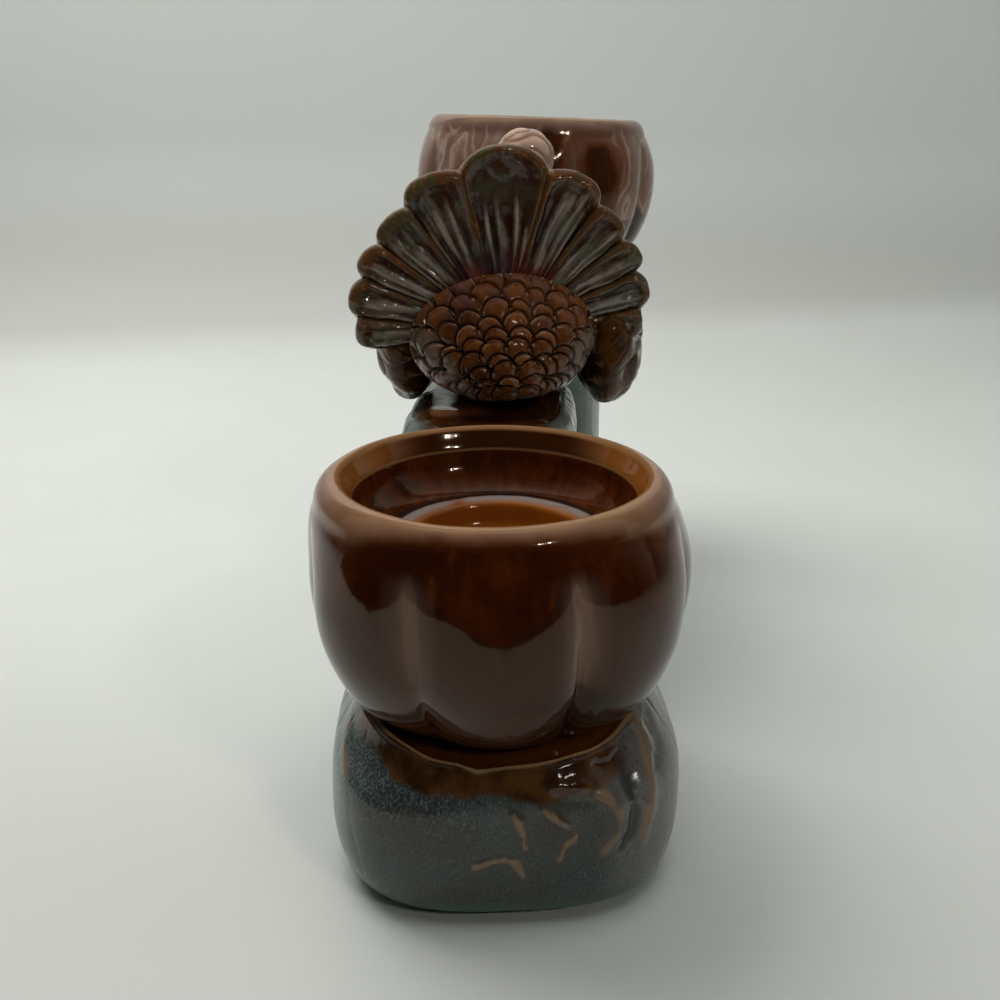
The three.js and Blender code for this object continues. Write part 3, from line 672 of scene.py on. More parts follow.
# %% The low cup
FRONT_GROOVES = [-71, -20.5, 27.2, 79, 130, 182, 236]
FRONT_SOFTNESS = [0.1, 0.13, 0.02, 0.06, 0.12, 0.06, 0.1]
FRONT_RUN_ENDS = [29.6, 33.8, 35.5, 31.0, 35.5, 32.0, 36.0]  # height of the run's end over the seat
FRONT_WARP = (-1.6, 1.55, -0.2, 0)
RUN_CLIMB = (9.5, 5.0)  # how much higher it ends near a crease, and in it
SOFT_CREASE = 0.09
CREASE_CLIMB = 9.0  # and more again in a wide soft crease
FOOT_TOP = (16.6, 5.5)  # the pool round the foot: its height on a lobe, and more in a crease


def cup_frame(end):
    """Axis, seat and rim of the front or the rear cup, measured on its solids."""
    cup_low, cup_high = corners(f"{end}_candle_cup")
    return (cup_low + cup_high)[:2] / 2, corners(f"{end}_pumpkin_shell")[0][2], cup_high[2]


def pumpkin(end, grooves, softness, run_ends, warp, patches, material, slot, seed):
    """One cup of the holder, with the marks that its glaze needs."""
    centre, seat, rim = cup_frame(end)
    grid, marks, near, lobe = pumpkin_grid(centre, seat, rim, grooves, softness, warp, seed)
    far = 1 - near
    count = len(far)
    soft = far * (np.asarray(softness)[lobe] > SOFT_CREASE)
    wide = np.convolve(np.tile(soft, 3), np.ones(9) / 9, "same")
    run_end = np.asarray(run_ends)[lobe] + RUN_CLIMB[0] * far + RUN_CLIMB[1] * far**12
    run_end = run_end + CREASE_CLIMB * wide[count : 2 * count] ** 4
    height = grid[..., 2] - seat
    marks["run"] = height - softened(np.tile(run_end, 3)[:, None], 1.2)[count : 2 * count, 0]
    marks["foot"] = rise(FOOT_TOP[0] + FOOT_TOP[1] * far**4 - height, -0.8, 0.8)
    turn = np.degrees(circle(count))
    marks["treacle"] = 0 * height
    for middle, width, start in patches:
        patch = bell((turn - middle + 180) % 360 - 180, width) * rise(marks["below"], start, start + 7)
        marks["treacle"] = np.maximum(marks["treacle"], patch)
    nodes = f"{end}_candle_cup", f"{end}_pumpkin_shell"
    piece(f"{end}_pumpkin", [(grid, marks, "caps")], material, slot, *nodes)


front_colours = [(52, 17, 2), (86, 37, 7), (50, 22, 9), (46, 19, 7), (134, 97, 70), (74, 32, 7)]
pumpkin(
    "front", FRONT_GROOVES, FRONT_SOFTNESS, FRONT_RUN_ENDS, FRONT_WARP, [],
    pumpkin_glaze("treacle_glaze", *front_colours, 0.0), "brown_glaze", 11,
)

# %% The high cup
REAR_GROOVES = [-104, -54.7, -16.8, 21.1, 67.2, 117, 165, 211]
REAR_SOFTNESS = [0.12, 0.16, 0.12, 0.1, 0.05, 0.1, 0.12, 0.1]
REAR_RUN_ENDS = [70.0, 62.0, 62.0, 64.0, 66.0, 44.0, 52.0, 66.0]
REAR_WARP = (0, -1.2, 0, -1.2)
# Treacle patches: turn, half width, depth below the rim
REAR_TREACLE = [(33, 11, 6), (9, 8, 0), (150, 20, 6), (-120, 14, 6)]

# The high cup's pale mauve, which covers most of it, is partly its glaze and partly painted reflection of
# the pale backdrop.
rear_colours = [(44, 20, 8), (98, 50, 22), (136, 105, 92), (100, 70, 58), (138, 108, 88), (116, 88, 76)]
pumpkin(
    "rear", REAR_GROOVES, REAR_SOFTNESS, REAR_RUN_ENDS, REAR_WARP, REAR_TREACLE,
    pumpkin_glaze("mauve_glaze", *rear_colours, 1.0), "mauve_glaze", 23,
)

# %% [markdown]
# ## Bark stumps
# The three stumps are squarish tree trunks with shallow bark, hollow and open below. Each is a
# loft: rings of a rounded rectangle at the levels of the solid, in over the cut top to a hole,
# and back down inside at the wall's thickness. Bark relief pushes the outer rings in and out.

# %% Rings
STUMP_COLUMNS = 400
STUMP_WALL = 5.0
TOP_CORNERS_FROM = 0.72  # share of the height where the outline starts to round for the top


def squarish(turn, wide, front, back, squareness):
    """Distance from the middle to the edge of a rounded rectangle at each turn.

    It is the superellipse |cos/wide|^n + |sin/deep|^n, taken to the power -1/n.
    """
    deep = np.where(np.sin(turn) < 0, front, back)
    sides = np.abs(np.cos(turn) / wide) ** squareness + np.abs(np.sin(turn) / deep) ** squareness
    return sides ** (-1 / squareness)


def stump_rings(shape, shares, inset, height_of):
    """Rings of a stump at the given rows of shares: (up, wide, front, back, lean)."""
    turn = circle(STUMP_COLUMNS)
    c, s = np.cos(np.radians(shape["turn"])), np.sin(np.radians(shape["turn"]))
    below, above = shape["squareness"]
    rings = []
    for up, *sides, lean in shares:
        sides = np.array(sides) * shape["half"] - inset
        reach = squarish(turn, *sides, below + (above - below) * rise(up, TOP_CORNERS_FROM, 1))
        x, y = lean * shape["half"][0] + reach * np.cos(turn), reach * np.sin(turn)
        x, y = shape["centre"][0] + c * x - s * y, shape["centre"][1] + s * x + c * y
        rings.append(places_of(x, y, height_of(up)))
    return np.array(rings)


def hole_rings(centre, radius, heights):
    turn = circle(STUMP_COLUMNS)
    x, y = centre[0] + radius * np.cos(turn), centre[1] + radius * np.sin(turn)
    return places_of(x, y, np.array(heights)[:, None])


# %% Bark relief
CREASE_WIDTH = 0.16
PLATES = [(20, 0.35), (8, 0.12)]  # size and height of the lumps between creases


def distance_to_stroke(places, stroke):
    """Distance in the (x, z) view from each place to a smooth stroke through a few points."""
    path = eased(stroke, 6 * len(stroke))
    flat = places[..., [0, 2]]
    nearest = np.full(flat.shape[:-1], np.inf)
    for start, end in zip(path[:-1], path[1:]):
        side = end - start
        share = np.clip(((flat - start) @ side) / (side @ side), 0, 1)
        gap = np.linalg.norm(flat - start - share[..., None] * side, axis=-1)
        nearest = np.minimum(nearest, gap)
    return nearest


def bark(places, turn, ridges, depth, seed):
    """Relief in millimetres: long creases that wander, come and go, between flat plates.

    A crease lies where the sine of the ridge phase crosses zero, so a bell of that sine
    cuts it, and slow lumps fade it in and out.
    """
    wander = lumps(places * [1, 1, 0.6], 42, seed) * 1.1 + lumps(places, 15, seed + 1) * 0.25
    phase = np.sin(ridges * turn / 2 + wander)
    comes = rise(lumps(places * [1, 1, 0.7], 26, seed + 2), -0.45, 0.35)
    crease = bell(phase, CREASE_WIDTH) * comes
    plates = sum(lumps(places, size, seed + 3 + k) * tall for k, (size, tall) in enumerate(PLATES))
    return depth * (plates - crease), crease


# %% [markdown]
# The near face of the low stump carries a few marks that stand out: a raised arc with a dark
# groove beside it, an outer arc that runs down from the corner, and three broken chips of bark.
# They are strokes in the view from the front, and each gets a bell-shaped section.

# %% Marks on the low stump, as (x from the cup's axis, height)
INNER_ARC = [(15.6, 39.0), (21.8, 38.0), (26.5, 35.1), (29.2, 31.0), (29.5, 26.8), (28.2, 24.0)]
INNER_ARC += [(25.8, 21.5)]
DARK_GROOVE = [(24.5, 40.2), (30.1, 37.6), (32.9, 33.2), (33.7, 29.7), (33.2, 24.3), (31.3, 20.6)]
OUTER_ARC = [(32.7, 44.0), (34.6, 39.6), (36.7, 34.9), (37.2, 31.4), (36.4, 26.5), (35.2, 20.9)]
CHIPS = [
    [(6.0, 33.2), (7.9, 28.8), (8.8, 24.5)],
    [(12.7, 34.2), (16.4, 30.8), (20.0, 27.6)],
    [(20.0, 27.6), (17.6, 24.6), (16.4, 20.9)],
    [(-2.4, 19.6), (3.3, 21.6), (6.7, 20.3), (8.2, 16.4)],
]
CORNER_ROLL = [(-30.5, 45.0), (-34.5, 41.5), (-36.2, 37.0), (-34.0, 33.0)]
# Height of the cut top's front edge along x
LIP_LINE = [(-34, -19, -13, -6.6, -2.4, 4, 11, 19, 27, 32, 40)]
LIP_LINE += [(2.4, 1.7, 0, 0.1, -1.9, -0.5, 0, 1.0, 0.8, -0.6, 0.6)]


# Paths, half width, relief and brown share of each kind of stroke
STROKES = {
    "inner": ([INNER_ARC], 1.25, 0.9, 0.75),
    "outer": ([OUTER_ARC], 1.35, 0.9, 0.85),
    "groove": ([DARK_GROOVE], 1.5, -1.2, 0.0),
    "chips": (CHIPS, 0.62, 0.7, 0.9),
    "roll": ([CORNER_ROLL], 1.6, 0.6, 0.7),
}
HALO = (3.4, 0.25)  # half width and relief of the dull band round the inner arc and the chips
NEAR_FACE = 8.0  # how far in front of the axis the near face starts
FACING_SPAN = 14.0  # and over what depth the strokes come in
RAGGED = [(2.6, 0.35), (7, 0.45)]  # size and reach of the unevenness of a stroke's edges


def front_strokes(places, centre):
    """Relief, brown share, dark share and halo of the strokes on the near face."""
    found = np.zeros((4, *places.shape[:-1]))
    ahead = centre[1] - NEAR_FACE - places[..., 1]
    near = ahead > 0
    local = places[near] - [centre[0], 0, 0]
    ragged = sum(lumps(local, size, 301 + k) * reach for k, (size, reach) in enumerate(RAGGED))
    gaps = {}
    relief = brown = 0
    for kind, (paths, width, tall, brownness) in STROKES.items():
        gap = np.min([distance_to_stroke(local, path) for path in paths], axis=0)
        gaps[kind] = np.clip(gap + ragged, 0, None)
        relief = relief + tall * bell(gaps[kind], width)
        brown = brown + brownness * bell(gaps[kind], width)
    groove = bell(gaps["groove"], STROKES["groove"][1])
    halo = bell(np.minimum(gaps["inner"], gaps["chips"]), HALO[0])
    shares = np.array([relief + HALO[1] * halo, np.clip(brown, 0, 1), groove, halo])
    found[:, near] = shares * rise(ahead[near], 0, FACING_SPAN)
    return found


# %% Loft of a stump
SIDE_LIFT = 2.4  # how much higher the cut top stands beside its front edge
POOL_RING = (39.5, 35.5)  # where the pooled glaze round the low cup starts, and is full
POOL_HEIGHT = 1.6


def stump_grid(shape):
    """Rings from the cut top outwards, down the bark, round the foot and up the hollow.

    With them come four columns: how far each ring is bark, cut top, hidden, or the crest.
    """
    top, shares, (lip_height, lip_width) = shape["height"], shape["shares"], shape["lip"]
    roof = top - STUMP_WALL
    flat = stump_rings(shape, shares[-1:], lip_width, lambda up: top)
    share = np.linspace(0, 1, shape["top_rows"])[:, None, None]
    cut = hole_rings(*shape["hole"], [top]) * (1 - share) + flat * share
    cut[0, :, 2] -= 0.5
    bands = [
        cut,
        stump_rings(shape, shares[-1:], lip_width * 0.45, lambda up: top + lip_height),
        stump_rings(shape, eased(shares, 76), 0, lambda up: up * top)[::-1],
        stump_rings(shape, shares[:1], STUMP_WALL, lambda up: 0.0),
        stump_rings(shape, shares[::2] + shares[-1:], STUMP_WALL, lambda up: up * roof)[1:],
        hole_rings(*shape["hole"], [roof, (roof + top) / 2]),
    ]
    band = np.repeat(np.arange(len(bands)), [len(rings) for rings in bands])[:, None]
    columns = [softened(rows.astype(float), 0.8) for rows in (band == 2, band == 0, band > 2)]
    return np.concatenate(bands), *columns, band == 1


def dress_stump(name, shape, material):
    grid, bark_rows, cut_rows, hidden, crest_rows = stump_grid(shape)
    x, y, z = np.moveaxis(grid, -1, 0)  # views: what moves them moves the grid
    centre, height, seed = shape["centre"], shape["height"], shape["seed"]
    turn = np.arctan2(y - centre[1], x - centre[0])
    calm = shape["calm"](y)
    relief, dark = (field * calm for field in bark(grid, turn, shape["ridges"], shape["bark"], seed))
    brown = halo = 0 * z
    near_top = rise(z, height - 14, height - 1) * (1 - hidden)
    if shape["strokes"]:
        raised, brown, groove, halo = front_strokes(grid, centre)
        relief, dark = relief + raised, np.maximum(dark, groove)
        aside = rise(np.abs((np.degrees(turn) + 90 + 180) % 360 - 180), 34, 58)
        wave = np.interp(x - centre[0], *LIP_LINE) * rise(z, height - 7, height + 1)
        z += near_top * (wave * (1 - aside) + SIDE_LIFT * aside) * (1 - cut_rows * (1 - aside))
    for knob_x, knob_y, wide, tall in shape["knobs"]:
        knob = bell(np.hypot(x - knob_x, y - knob_y), wide) * near_top
        z += knob * tall
        brown = np.maximum(brown, knob)
    wobble = lumps(grid, 30, seed + 9) * 0.5 * cut_rows
    away = grid[..., :2] - centre
    if shape["pooled"]:
        wobble += POOL_HEIGHT * rise(np.linalg.norm(away, axis=-1), *POOL_RING) * cut_rows
    grid[..., :2] += unit(away) * (relief * bark_rows)[..., None]
    z += wobble
    marks = {
        "under_edge": height - z + lumps(grid, 24, seed + 7) * 1.2,
        "cut": cut_rows,
        "crest": crest_rows * (shape["lip"][0] > 0),
        "brown": brown,
        "halo": halo,
        "dark": dark * bark_rows,
        "raised": relief * bark_rows,
        "hollow": hidden,
    }
    piece(f"{name}_bark", [(grid, marks, "loop")], material, "bark_glaze", f"{name}_stump")


# %% [markdown]
# ## Bark glaze
# The stumps wear a blue-green reactive glaze that breaks brown over every raised edge, goes
# speckled and dark where it is thick, and greener towards the foot. The cut top is covered in
# the same treacle brown as the cups, and it spills over the edge as an amber band.

# %% Bark glaze
BARK_MARKS = ["under_edge", "cut", "crest", "brown", "halo", "dark", "raised", "hollow"]


def bark_glaze(name, band_end, face, cool, right_glaze_and_sheen, right_from):
    mix = glaze(name)
    under, cut, crest, brown, halo, dark, raised, hollow = map(mix.mark, BARK_MARKS)
    up, side = mix.height(), mix.height("X")
    drift = mix.cloud(24, 3.0)
    patch = mix.cloud(9, 4.0, rough=0.6)
    speck = mix.cloud(0.55, 2.0, (1, 1, 0.6), 0.6)
    dense = under.between(17, 5) * side.between(24, -26)
    treacle = mix.blend((drift + patch).between(0.6, 1.3), (50, 22, 7), (94, 48, 16))
    amber = mix.blend(patch.between(0.35, 0.65), (48, 26, 8), (86, 54, 24))
    clay = mix.blend(patch, (186, 168, 146), (168, 148, 124))
    ragged = (mix.cloud(12, 3.0) - 0.5) * 6 + side.between(-6, -26) * 3
    spill = (under + ragged).between(band_end + 1.0, band_end - 1.0)
    aside = side.between(right_from + 1, right_from + 9) + side.between(-27, -34)
    bare = side.between(right_from + 5, right_from + 13) * 0.75
    hidden = hollow.between(0.4, 0.8)
    colour = mix.coats(mix.blend((drift + patch * 0.5).between(0.55, 0.95), face, cool), [
        # Partly glaze, partly painted sheen: the right shoulder takes its own tint, pale lilac-grey on
        # the low and middle stumps.
        ((side + (patch - 0.5) * 9).between(right_from, right_from + 12) * 0.85, right_glaze_and_sheen),
        # Painted light: lighter blue-green towards the left edge, where the light comes from.
        (side.between(-22, -38) * 0.8, (112, 126, 118)),
        (up.between(12, 2) * (patch * 0.8 + 0.35), (50, 84, 66)),
        (up.between(8, 0.5) * patch.between(0.3, 0.6) * 0.7, (60, 120, 84)),
        (dense * 0.45, (62, 74, 74)),
        ((speck + dense * 0.1 + patch * 0.08).between(0.56, 0.76) * 0.55, (24, 27, 26)),
        ((1 - speck + dense * 0.07).between(0.58, 0.68) * (dense * 0.16 + 0.2), (122, 140, 136)),
        (halo.between(0.2, 0.9) * 0.45, (74, 60, 48)),
        (dark.between(0.2, 0.9) * 0.7, (22, 24, 22)),
        (raised.between(0.5, 1.2) * 0.4, (100, 82, 62)),
        ((brown + (patch - 0.5) * 0.6).between(0.3, 0.85) * 0.85, (128, 106, 80)),
        (spill * (1 - aside * 0.8), amber),
        (cut.between(0.35, 0.75) * (1 - bare), treacle),
        # Partly thin glaze, partly painted highlight: a pale line along the crest of the cut top's lip.
        ((crest + (patch - 0.5) * 0.3).between(0.5, 0.9), (172, 136, 98)),
        (brown.between(0.4, 0.8) * cut.between(0.2, 0.6), (136, 92, 62)),
        (up.between(1.2, 0.2), (96, 70, 50)),
        (hidden, clay),
    ])
    rough = hidden * 0.4 + (1 - spill) * (1 - cut) * 0.12 + speck * 0.06 + 0.08
    return mix.fire(colour, rough, mix.cloud(7, 3.0) * 0.16 + speck * 0.03)


# %% The three stumps
SEAT_GAP = 0.3

front_axis, front_seat, _ = cup_frame("front")
rear_axis, rear_seat, _ = cup_frame("rear")
middle_low, middle_high = corners("middle_stump")
PLAIN_STUMP = {
    "turn": 0, "lip": (0.0, 2.0), "pooled": False, "strokes": False, "knobs": [], "calm": lambda y: 1.0,
}
FRONT_STUMP = {
    **PLAIN_STUMP,
    "centre": front_axis, "height": front_seat - SEAT_GAP, "half": (43.8, 44.8, 42.5), "turn": 7,
    "squareness": (2.95, 2.3), "lip": (1.3, 3.2), "hole": (front_axis, DRAIN), "top_rows": 30,
    "pooled": True, "ridges": 22, "bark": 0.5, "seed": 5, "strokes": True,
    "calm": lambda y: 0.25 + 0.75 * rise(y, front_axis[1] - 22, front_axis[1] + 12),
    "shares": [
        (0, 0.826, 0.77, 0.97, 0), (0.035, 0.89, 0.85, 0.98, 0.01),
        (0.12, 0.955, 0.945, 1.0, 0.015), (0.29, 1, 0.985, 1.03, 0.015),
        (0.52, 1.005, 1, 1.05, 0.018), (0.74, 0.985, 1, 1.06, 0.022),
        (0.9, 0.885, 0.97, 1.06, 0.02), (1, 0.825, 0.935, 1.04, 0),
    ],
}
MIDDLE_STUMP = {
    **PLAIN_STUMP,
    "centre": np.array([front_axis[0], (middle_low[1] + middle_high[1]) / 2]), "height": middle_high[2],
    "half": (41.0, 66.0, 66.0), "squareness": (2.8, 2.8), "top_rows": 60, "ridges": 18, "bark": 0.8,
    "hole": (np.array([front_axis[0] + 9.5, -23.7]), 2.35), "seed": 41, "knobs": [(-21, -21, 6.5, 1.7)],
    "shares": [
        (0, 0.93, 1, 1, 0), (0.02, 0.975, 1, 1, 0), (0.22, 1, 1, 1, 0),
        (0.5, 0.95, 0.92, 1, -0.07), (0.66, 0.87, 0.83, 0.99, -0.2), (0.79, 0.77, 0.78, 0.97, -0.29),
        (0.9, 0.7, 0.72, 0.95, -0.25), (0.965, 0.66, 0.65, 0.93, -0.24), (1, 0.56, 0.58, 0.9, -0.2),
    ],
}
REAR_STUMP = {
    **PLAIN_STUMP,
    "centre": rear_axis, "height": rear_seat - SEAT_GAP, "half": (40.0, 39.2, 41.0),
    "squareness": (2.3, 2.3), "hole": (rear_axis, DRAIN), "top_rows": 16,
    "ridges": 14, "bark": 0.9, "seed": 67,
    "shares": [
        (0, 0.93, 1.1, 0.93, 0), (0.02, 0.985, 1.1, 0.985, 0), (0.12, 0.97, 1.1, 1, 0),
        (0.32, 0.75, 1.08, 0.85, 0), (0.55, 0.71, 1.06, 0.75, 0), (0.68, 0.71, 1.01, 0.72, 0),
        (0.76, 0.72, 0.83, 0.7, 0), (0.88, 0.72, 0.76, 0.7, 0), (0.96, 0.74, 0.77, 0.71, 0),
        (1, 0.75, 0.78, 0.72, 0),
    ],
}
# The low stump's colours are darker than the other two, partly as painted shade on its near face.
low_colours = [(60, 54, 48), (62, 74, 70), (112, 108, 104)]
middle_colours = [(76, 78, 72), (84, 98, 94), (134, 140, 136)]
high_colours = [(74, 80, 76), (86, 102, 98), (84, 96, 94)]
dress_stump("front", FRONT_STUMP, bark_glaze("bark_glaze_low", 5.4, *low_colours, 27))
dress_stump("middle", MIDDLE_STUMP, bark_glaze("bark_glaze_middle", 5.0, *middle_colours, 8))
dress_stump("rear", REAR_STUMP, bark_glaze("bark_glaze_high", 6.0, *high_colours, 26))

# %% [markdown]
# ## Turkey's place
# The turkey stands on the middle stump, turned slightly to the right. Its own frame has its
# origin on the cut top, under the hub of the tail. The tail leans back and twists about that hub.
# Shapes are worked out there, in plain numbers, and moved to their place at the end.

# %% Frames of the turkey and its tail
TURKEY_TURN = np.radians(-2)
TAIL_LEAN = np.radians(5)
TAIL_TURN = np.radians(16)

hub = corners("tail_root").mean(axis=0)
ground = middle_high[2]
hub_height = hub[2] - ground


def to_casting(places):
    """From the turkey's frame to the casting's: a turn about the upright, then a shift."""
    c, s = np.cos(TURKEY_TURN), np.sin(TURKEY_TURN)
    x, y, z = np.moveaxis(places, -1, 0)
    return places_of(hub[0] + c * x - s * y, hub[1] + s * x + c * y, ground + z)


def tail_to_turkey(places):
    """From the tail's frame to the turkey's: the lean about the hub, then the twist."""
    x, y, z = np.moveaxis(places, -1, 0)
    c, s = np.cos(TAIL_LEAN), np.sin(TAIL_LEAN)
    y, z = c * y - s * z, hub_height + s * y + c * z
    c, s = np.cos(TAIL_TURN), np.sin(TAIL_TURN)
    return places_of(c * x - s * y, s * x + c * y, z)


def turkey_piece(name, grid, marks, material, slot, *nodes):
    """A piece from one grid in the turkey's frame."""
    piece(name, [(to_casting(grid), marks, "caps")], material, slot, *nodes)


print("Hub of the tail at", np.round(hub, 1))

# %% [markdown]
# ## Tail fan
# Eleven feathers spread from the hub. Each has a rolled rim round its tip, a raised edge on
# its upper side that laps its neighbour, and a hollow face with a few grooves that run in to
# the hub. One function shapes them all from the turns of their tips and edges.

# %% Fan sizes, outwards from the middle feather
FAN_RADIUS = 57.3
FAN_THICKNESS = 6.0
FAN_ROOT = 8.0
FEATHER_LAP = 0.9
FEATHER_OVERLAP = 0.5
TIP_TURNS = [0, 27.5, 44.5, 60, 73.5, 87]
EDGE_TURNS = [15, 36.5, 52.5, 66, 81, 94]
TIP_SHARES = [1, 0.948, 0.886, 0.876, 0.858, 0.8]
VALLEY_SHARES = [0.902, 0.861, 0.829, 0.812, 0.797, 0.72]
ARCH_POWER = 2.4
RIM_TURN = 1.8  # how softly the rolled rim turns from the tip to the side
RIM_ENDS = (5.6, 1.8)  # distance from the edge where the rim starts, and where it is full
FEATHER_COLUMNS = 150
FEATHER_ROWS = 110
# Ribs of a feather: place across from -1 to 1, spread towards the tip, and how far out it reaches
RIBS = [
    [(-0.55, 0.3, 0.62), (-0.1, 0.1, 0.7), (0.3, 0.3, 0.66), (0.7, 0.2, 0.5)],
    [(-0.15, 0.1, 0.74), (0.25, 0.3, 0.86), (0.68, 0.1, 0.7)],
    [(-0.2, 0.2, 0.66), (0.2, 0.25, 0.86), (0.62, 0.15, 0.8)],
    [(-0.05, 0.2, 0.84), (0.5, 0.15, 0.8)],
]


# %% One feather
def feather_grid(slot):
    """A feather as rows from root to tip, each row a flat loop round front and back.

    Across runs from -1 at the upper edge to 1 at the lower one. The tip's outline is the
    valley radius plus an arch, 1 - |across|^2.4, and the section is a flat oval. The distance
    in from the rim is a soft minimum of those to the tip and to the side.
    """
    rank, side = abs(slot), (1 if slot >= 0 else -1)
    draw = np.random.default_rng(200 + slot)
    inner_turn = EDGE_TURNS[rank - 1] if rank else -EDGE_TURNS[0]
    outer_turn = EDGE_TURNS[rank]
    span = outer_turn - inner_turn
    lean = (2 * TIP_TURNS[rank] - inner_turn - outer_turn) / span
    loop = circle(FEATHER_COLUMNS)[None, :]
    across = np.sign(np.cos(loop)) * np.abs(np.cos(loop)) ** 0.8
    face = np.sin(loop)
    along = (1 - (1 - np.linspace(0, 1, FEATHER_ROWS)) ** 1.3)[:, None]
    share = (across + 1) / 2
    valley = (VALLEY_SHARES[max(rank - 1, 0)] * (1 - share) + VALLEY_SHARES[rank] * share) * FAN_RADIUS
    skewed = (across - lean) / (1 - lean * across)
    arch = 1 - np.abs(skewed) ** ARCH_POWER
    length = valley + (TIP_SHARES[rank] * FAN_RADIUS - valley) * arch - FAN_ROOT
    reach = FAN_ROOT + length * along
    half_width = reach * np.radians(span) / 2
    turn = np.radians(inner_turn * (1 - share) + outer_turn * share)
    turn = turn + np.sign(across) * FEATHER_OVERLAP / reach
    sheet_place = places_of(across * 9 + slot * 40, along * 40, 0.0)
    waves = lumps(sheet_place, 16, 7 + slot)
    rough = lumps(sheet_place, 6.5, 57 + slot)
    to_tip = (1 - along) * length
    to_upper = (1 + across) * half_width
    to_lower = (1 - across) * half_width
    to_side = np.minimum(to_upper, to_lower) if rank == 0 else to_upper
    inward = -RIM_TURN * np.log(np.exp(-to_tip / RIM_TURN) + np.exp(-to_side * 1.9 / RIM_TURN))
    shoulder = rise(inward + waves + rough * 0.7, *RIM_ENDS) * rise(along, 0.25, 0.6)
    ribs = 0 * shoulder
    for place, spread, out in RIBS[min(rank, 3)]:
        out = out + draw.uniform(-0.02, 0.12)
        middle = place + draw.uniform(-0.07, 0.07) + spread * (along - 0.5)
        middle = middle + 0.06 * np.sin(6 * along + slot) + 0.07 * waves
        rib = bell((across - middle) * half_width, 0.5 + 0.95 * rise(along, 0.15, 0.75))
        ribs = np.maximum(ribs, rib * rise(along, out + 0.12, out - 0.12))
    lapping = rank > 0
    pool = bell(across - 0.35, 0.55) * rise(along, 0.5, 0.72) * (1 - shoulder) * lapping
    seam = rise(to_lower, 2.0, 0.0) * lapping
    floor = (1 - shoulder) * rise(along, 0.15, 0.45)
    strands = np.sin(across * (9 + 2 * np.sin(slot)) + 2 * slot + 2 * along + waves)
    strands = strands * rise(along, 0.3, 0.6)
    relief = 0.7 * shoulder - floor + 1.6 * ribs * (1 - 0.6 * shoulder) - 1.5 * seam
    relief = relief + waves * 0.35 + rough * 0.3 + strands * 0.22 * (1 - 0.8 * shoulder)
    thick = np.interp(along, [0, 0.3, 0.6, 0.8, 1], [1, 0.86, 0.8, 0.95, 0.9]) * FAN_THICKNESS / 2
    thick = thick * np.sqrt(1 - np.clip((along - 0.91) / 0.09, 0, 1) ** 2)
    oval = np.abs(face) ** 0.55 * np.sign(face)
    depth = (thick + relief * rise(np.abs(face), 0.15, 0.6)) * oval
    lap = FEATHER_LAP * across * along * lapping
    places = places_of(side * reach * np.sin(turn), lap - depth, reach * np.cos(turn))
    places[..., 1] += lumps(places, 22, 80 + slot) * 0.35
    # The pale share is partly glaze pooled in the hollow and partly painted sheen along the ribs.
    pale = np.clip(ribs * rise(along, 0.2, 0.45) + 0.5 * pool + 0.3 * waves + 0.2 * rough, 0, 1)
    marks = {
        "rim": shoulder,
        "edge": rise(to_tip, 2.0, 0.2) * rise(face, 0.9, 0.2),
        "cuts": np.clip(seam + 0.75 * floor * (1 - ribs) * rise(along, 0.9, 0.5), 0, 1),
        "along": along,
        "pale": pale * (1 - 0.6 * shoulder),
        # Painted highlight along the crests of the ribs.
        "crown": ribs * rise(along, 0.25, 0.5),
        "strand": across * 3.0 + slot * 9,
    }
    return tail_to_turkey(places), marks


# %% [markdown]
# ## Fan glaze
# On the fan the reactive glaze is grey-blue where it lies thick on the faces, with painted sheen
# and near white painted highlights along the ribs. The seams between feathers and the hollows near
# the hub are darker, nearly black, and the glaze breaks to olive and amber brown on the rolled
# rims. Towards the hub it turns reddish brown with a touch of violet. All of it follows marks that
# the mesh carries.

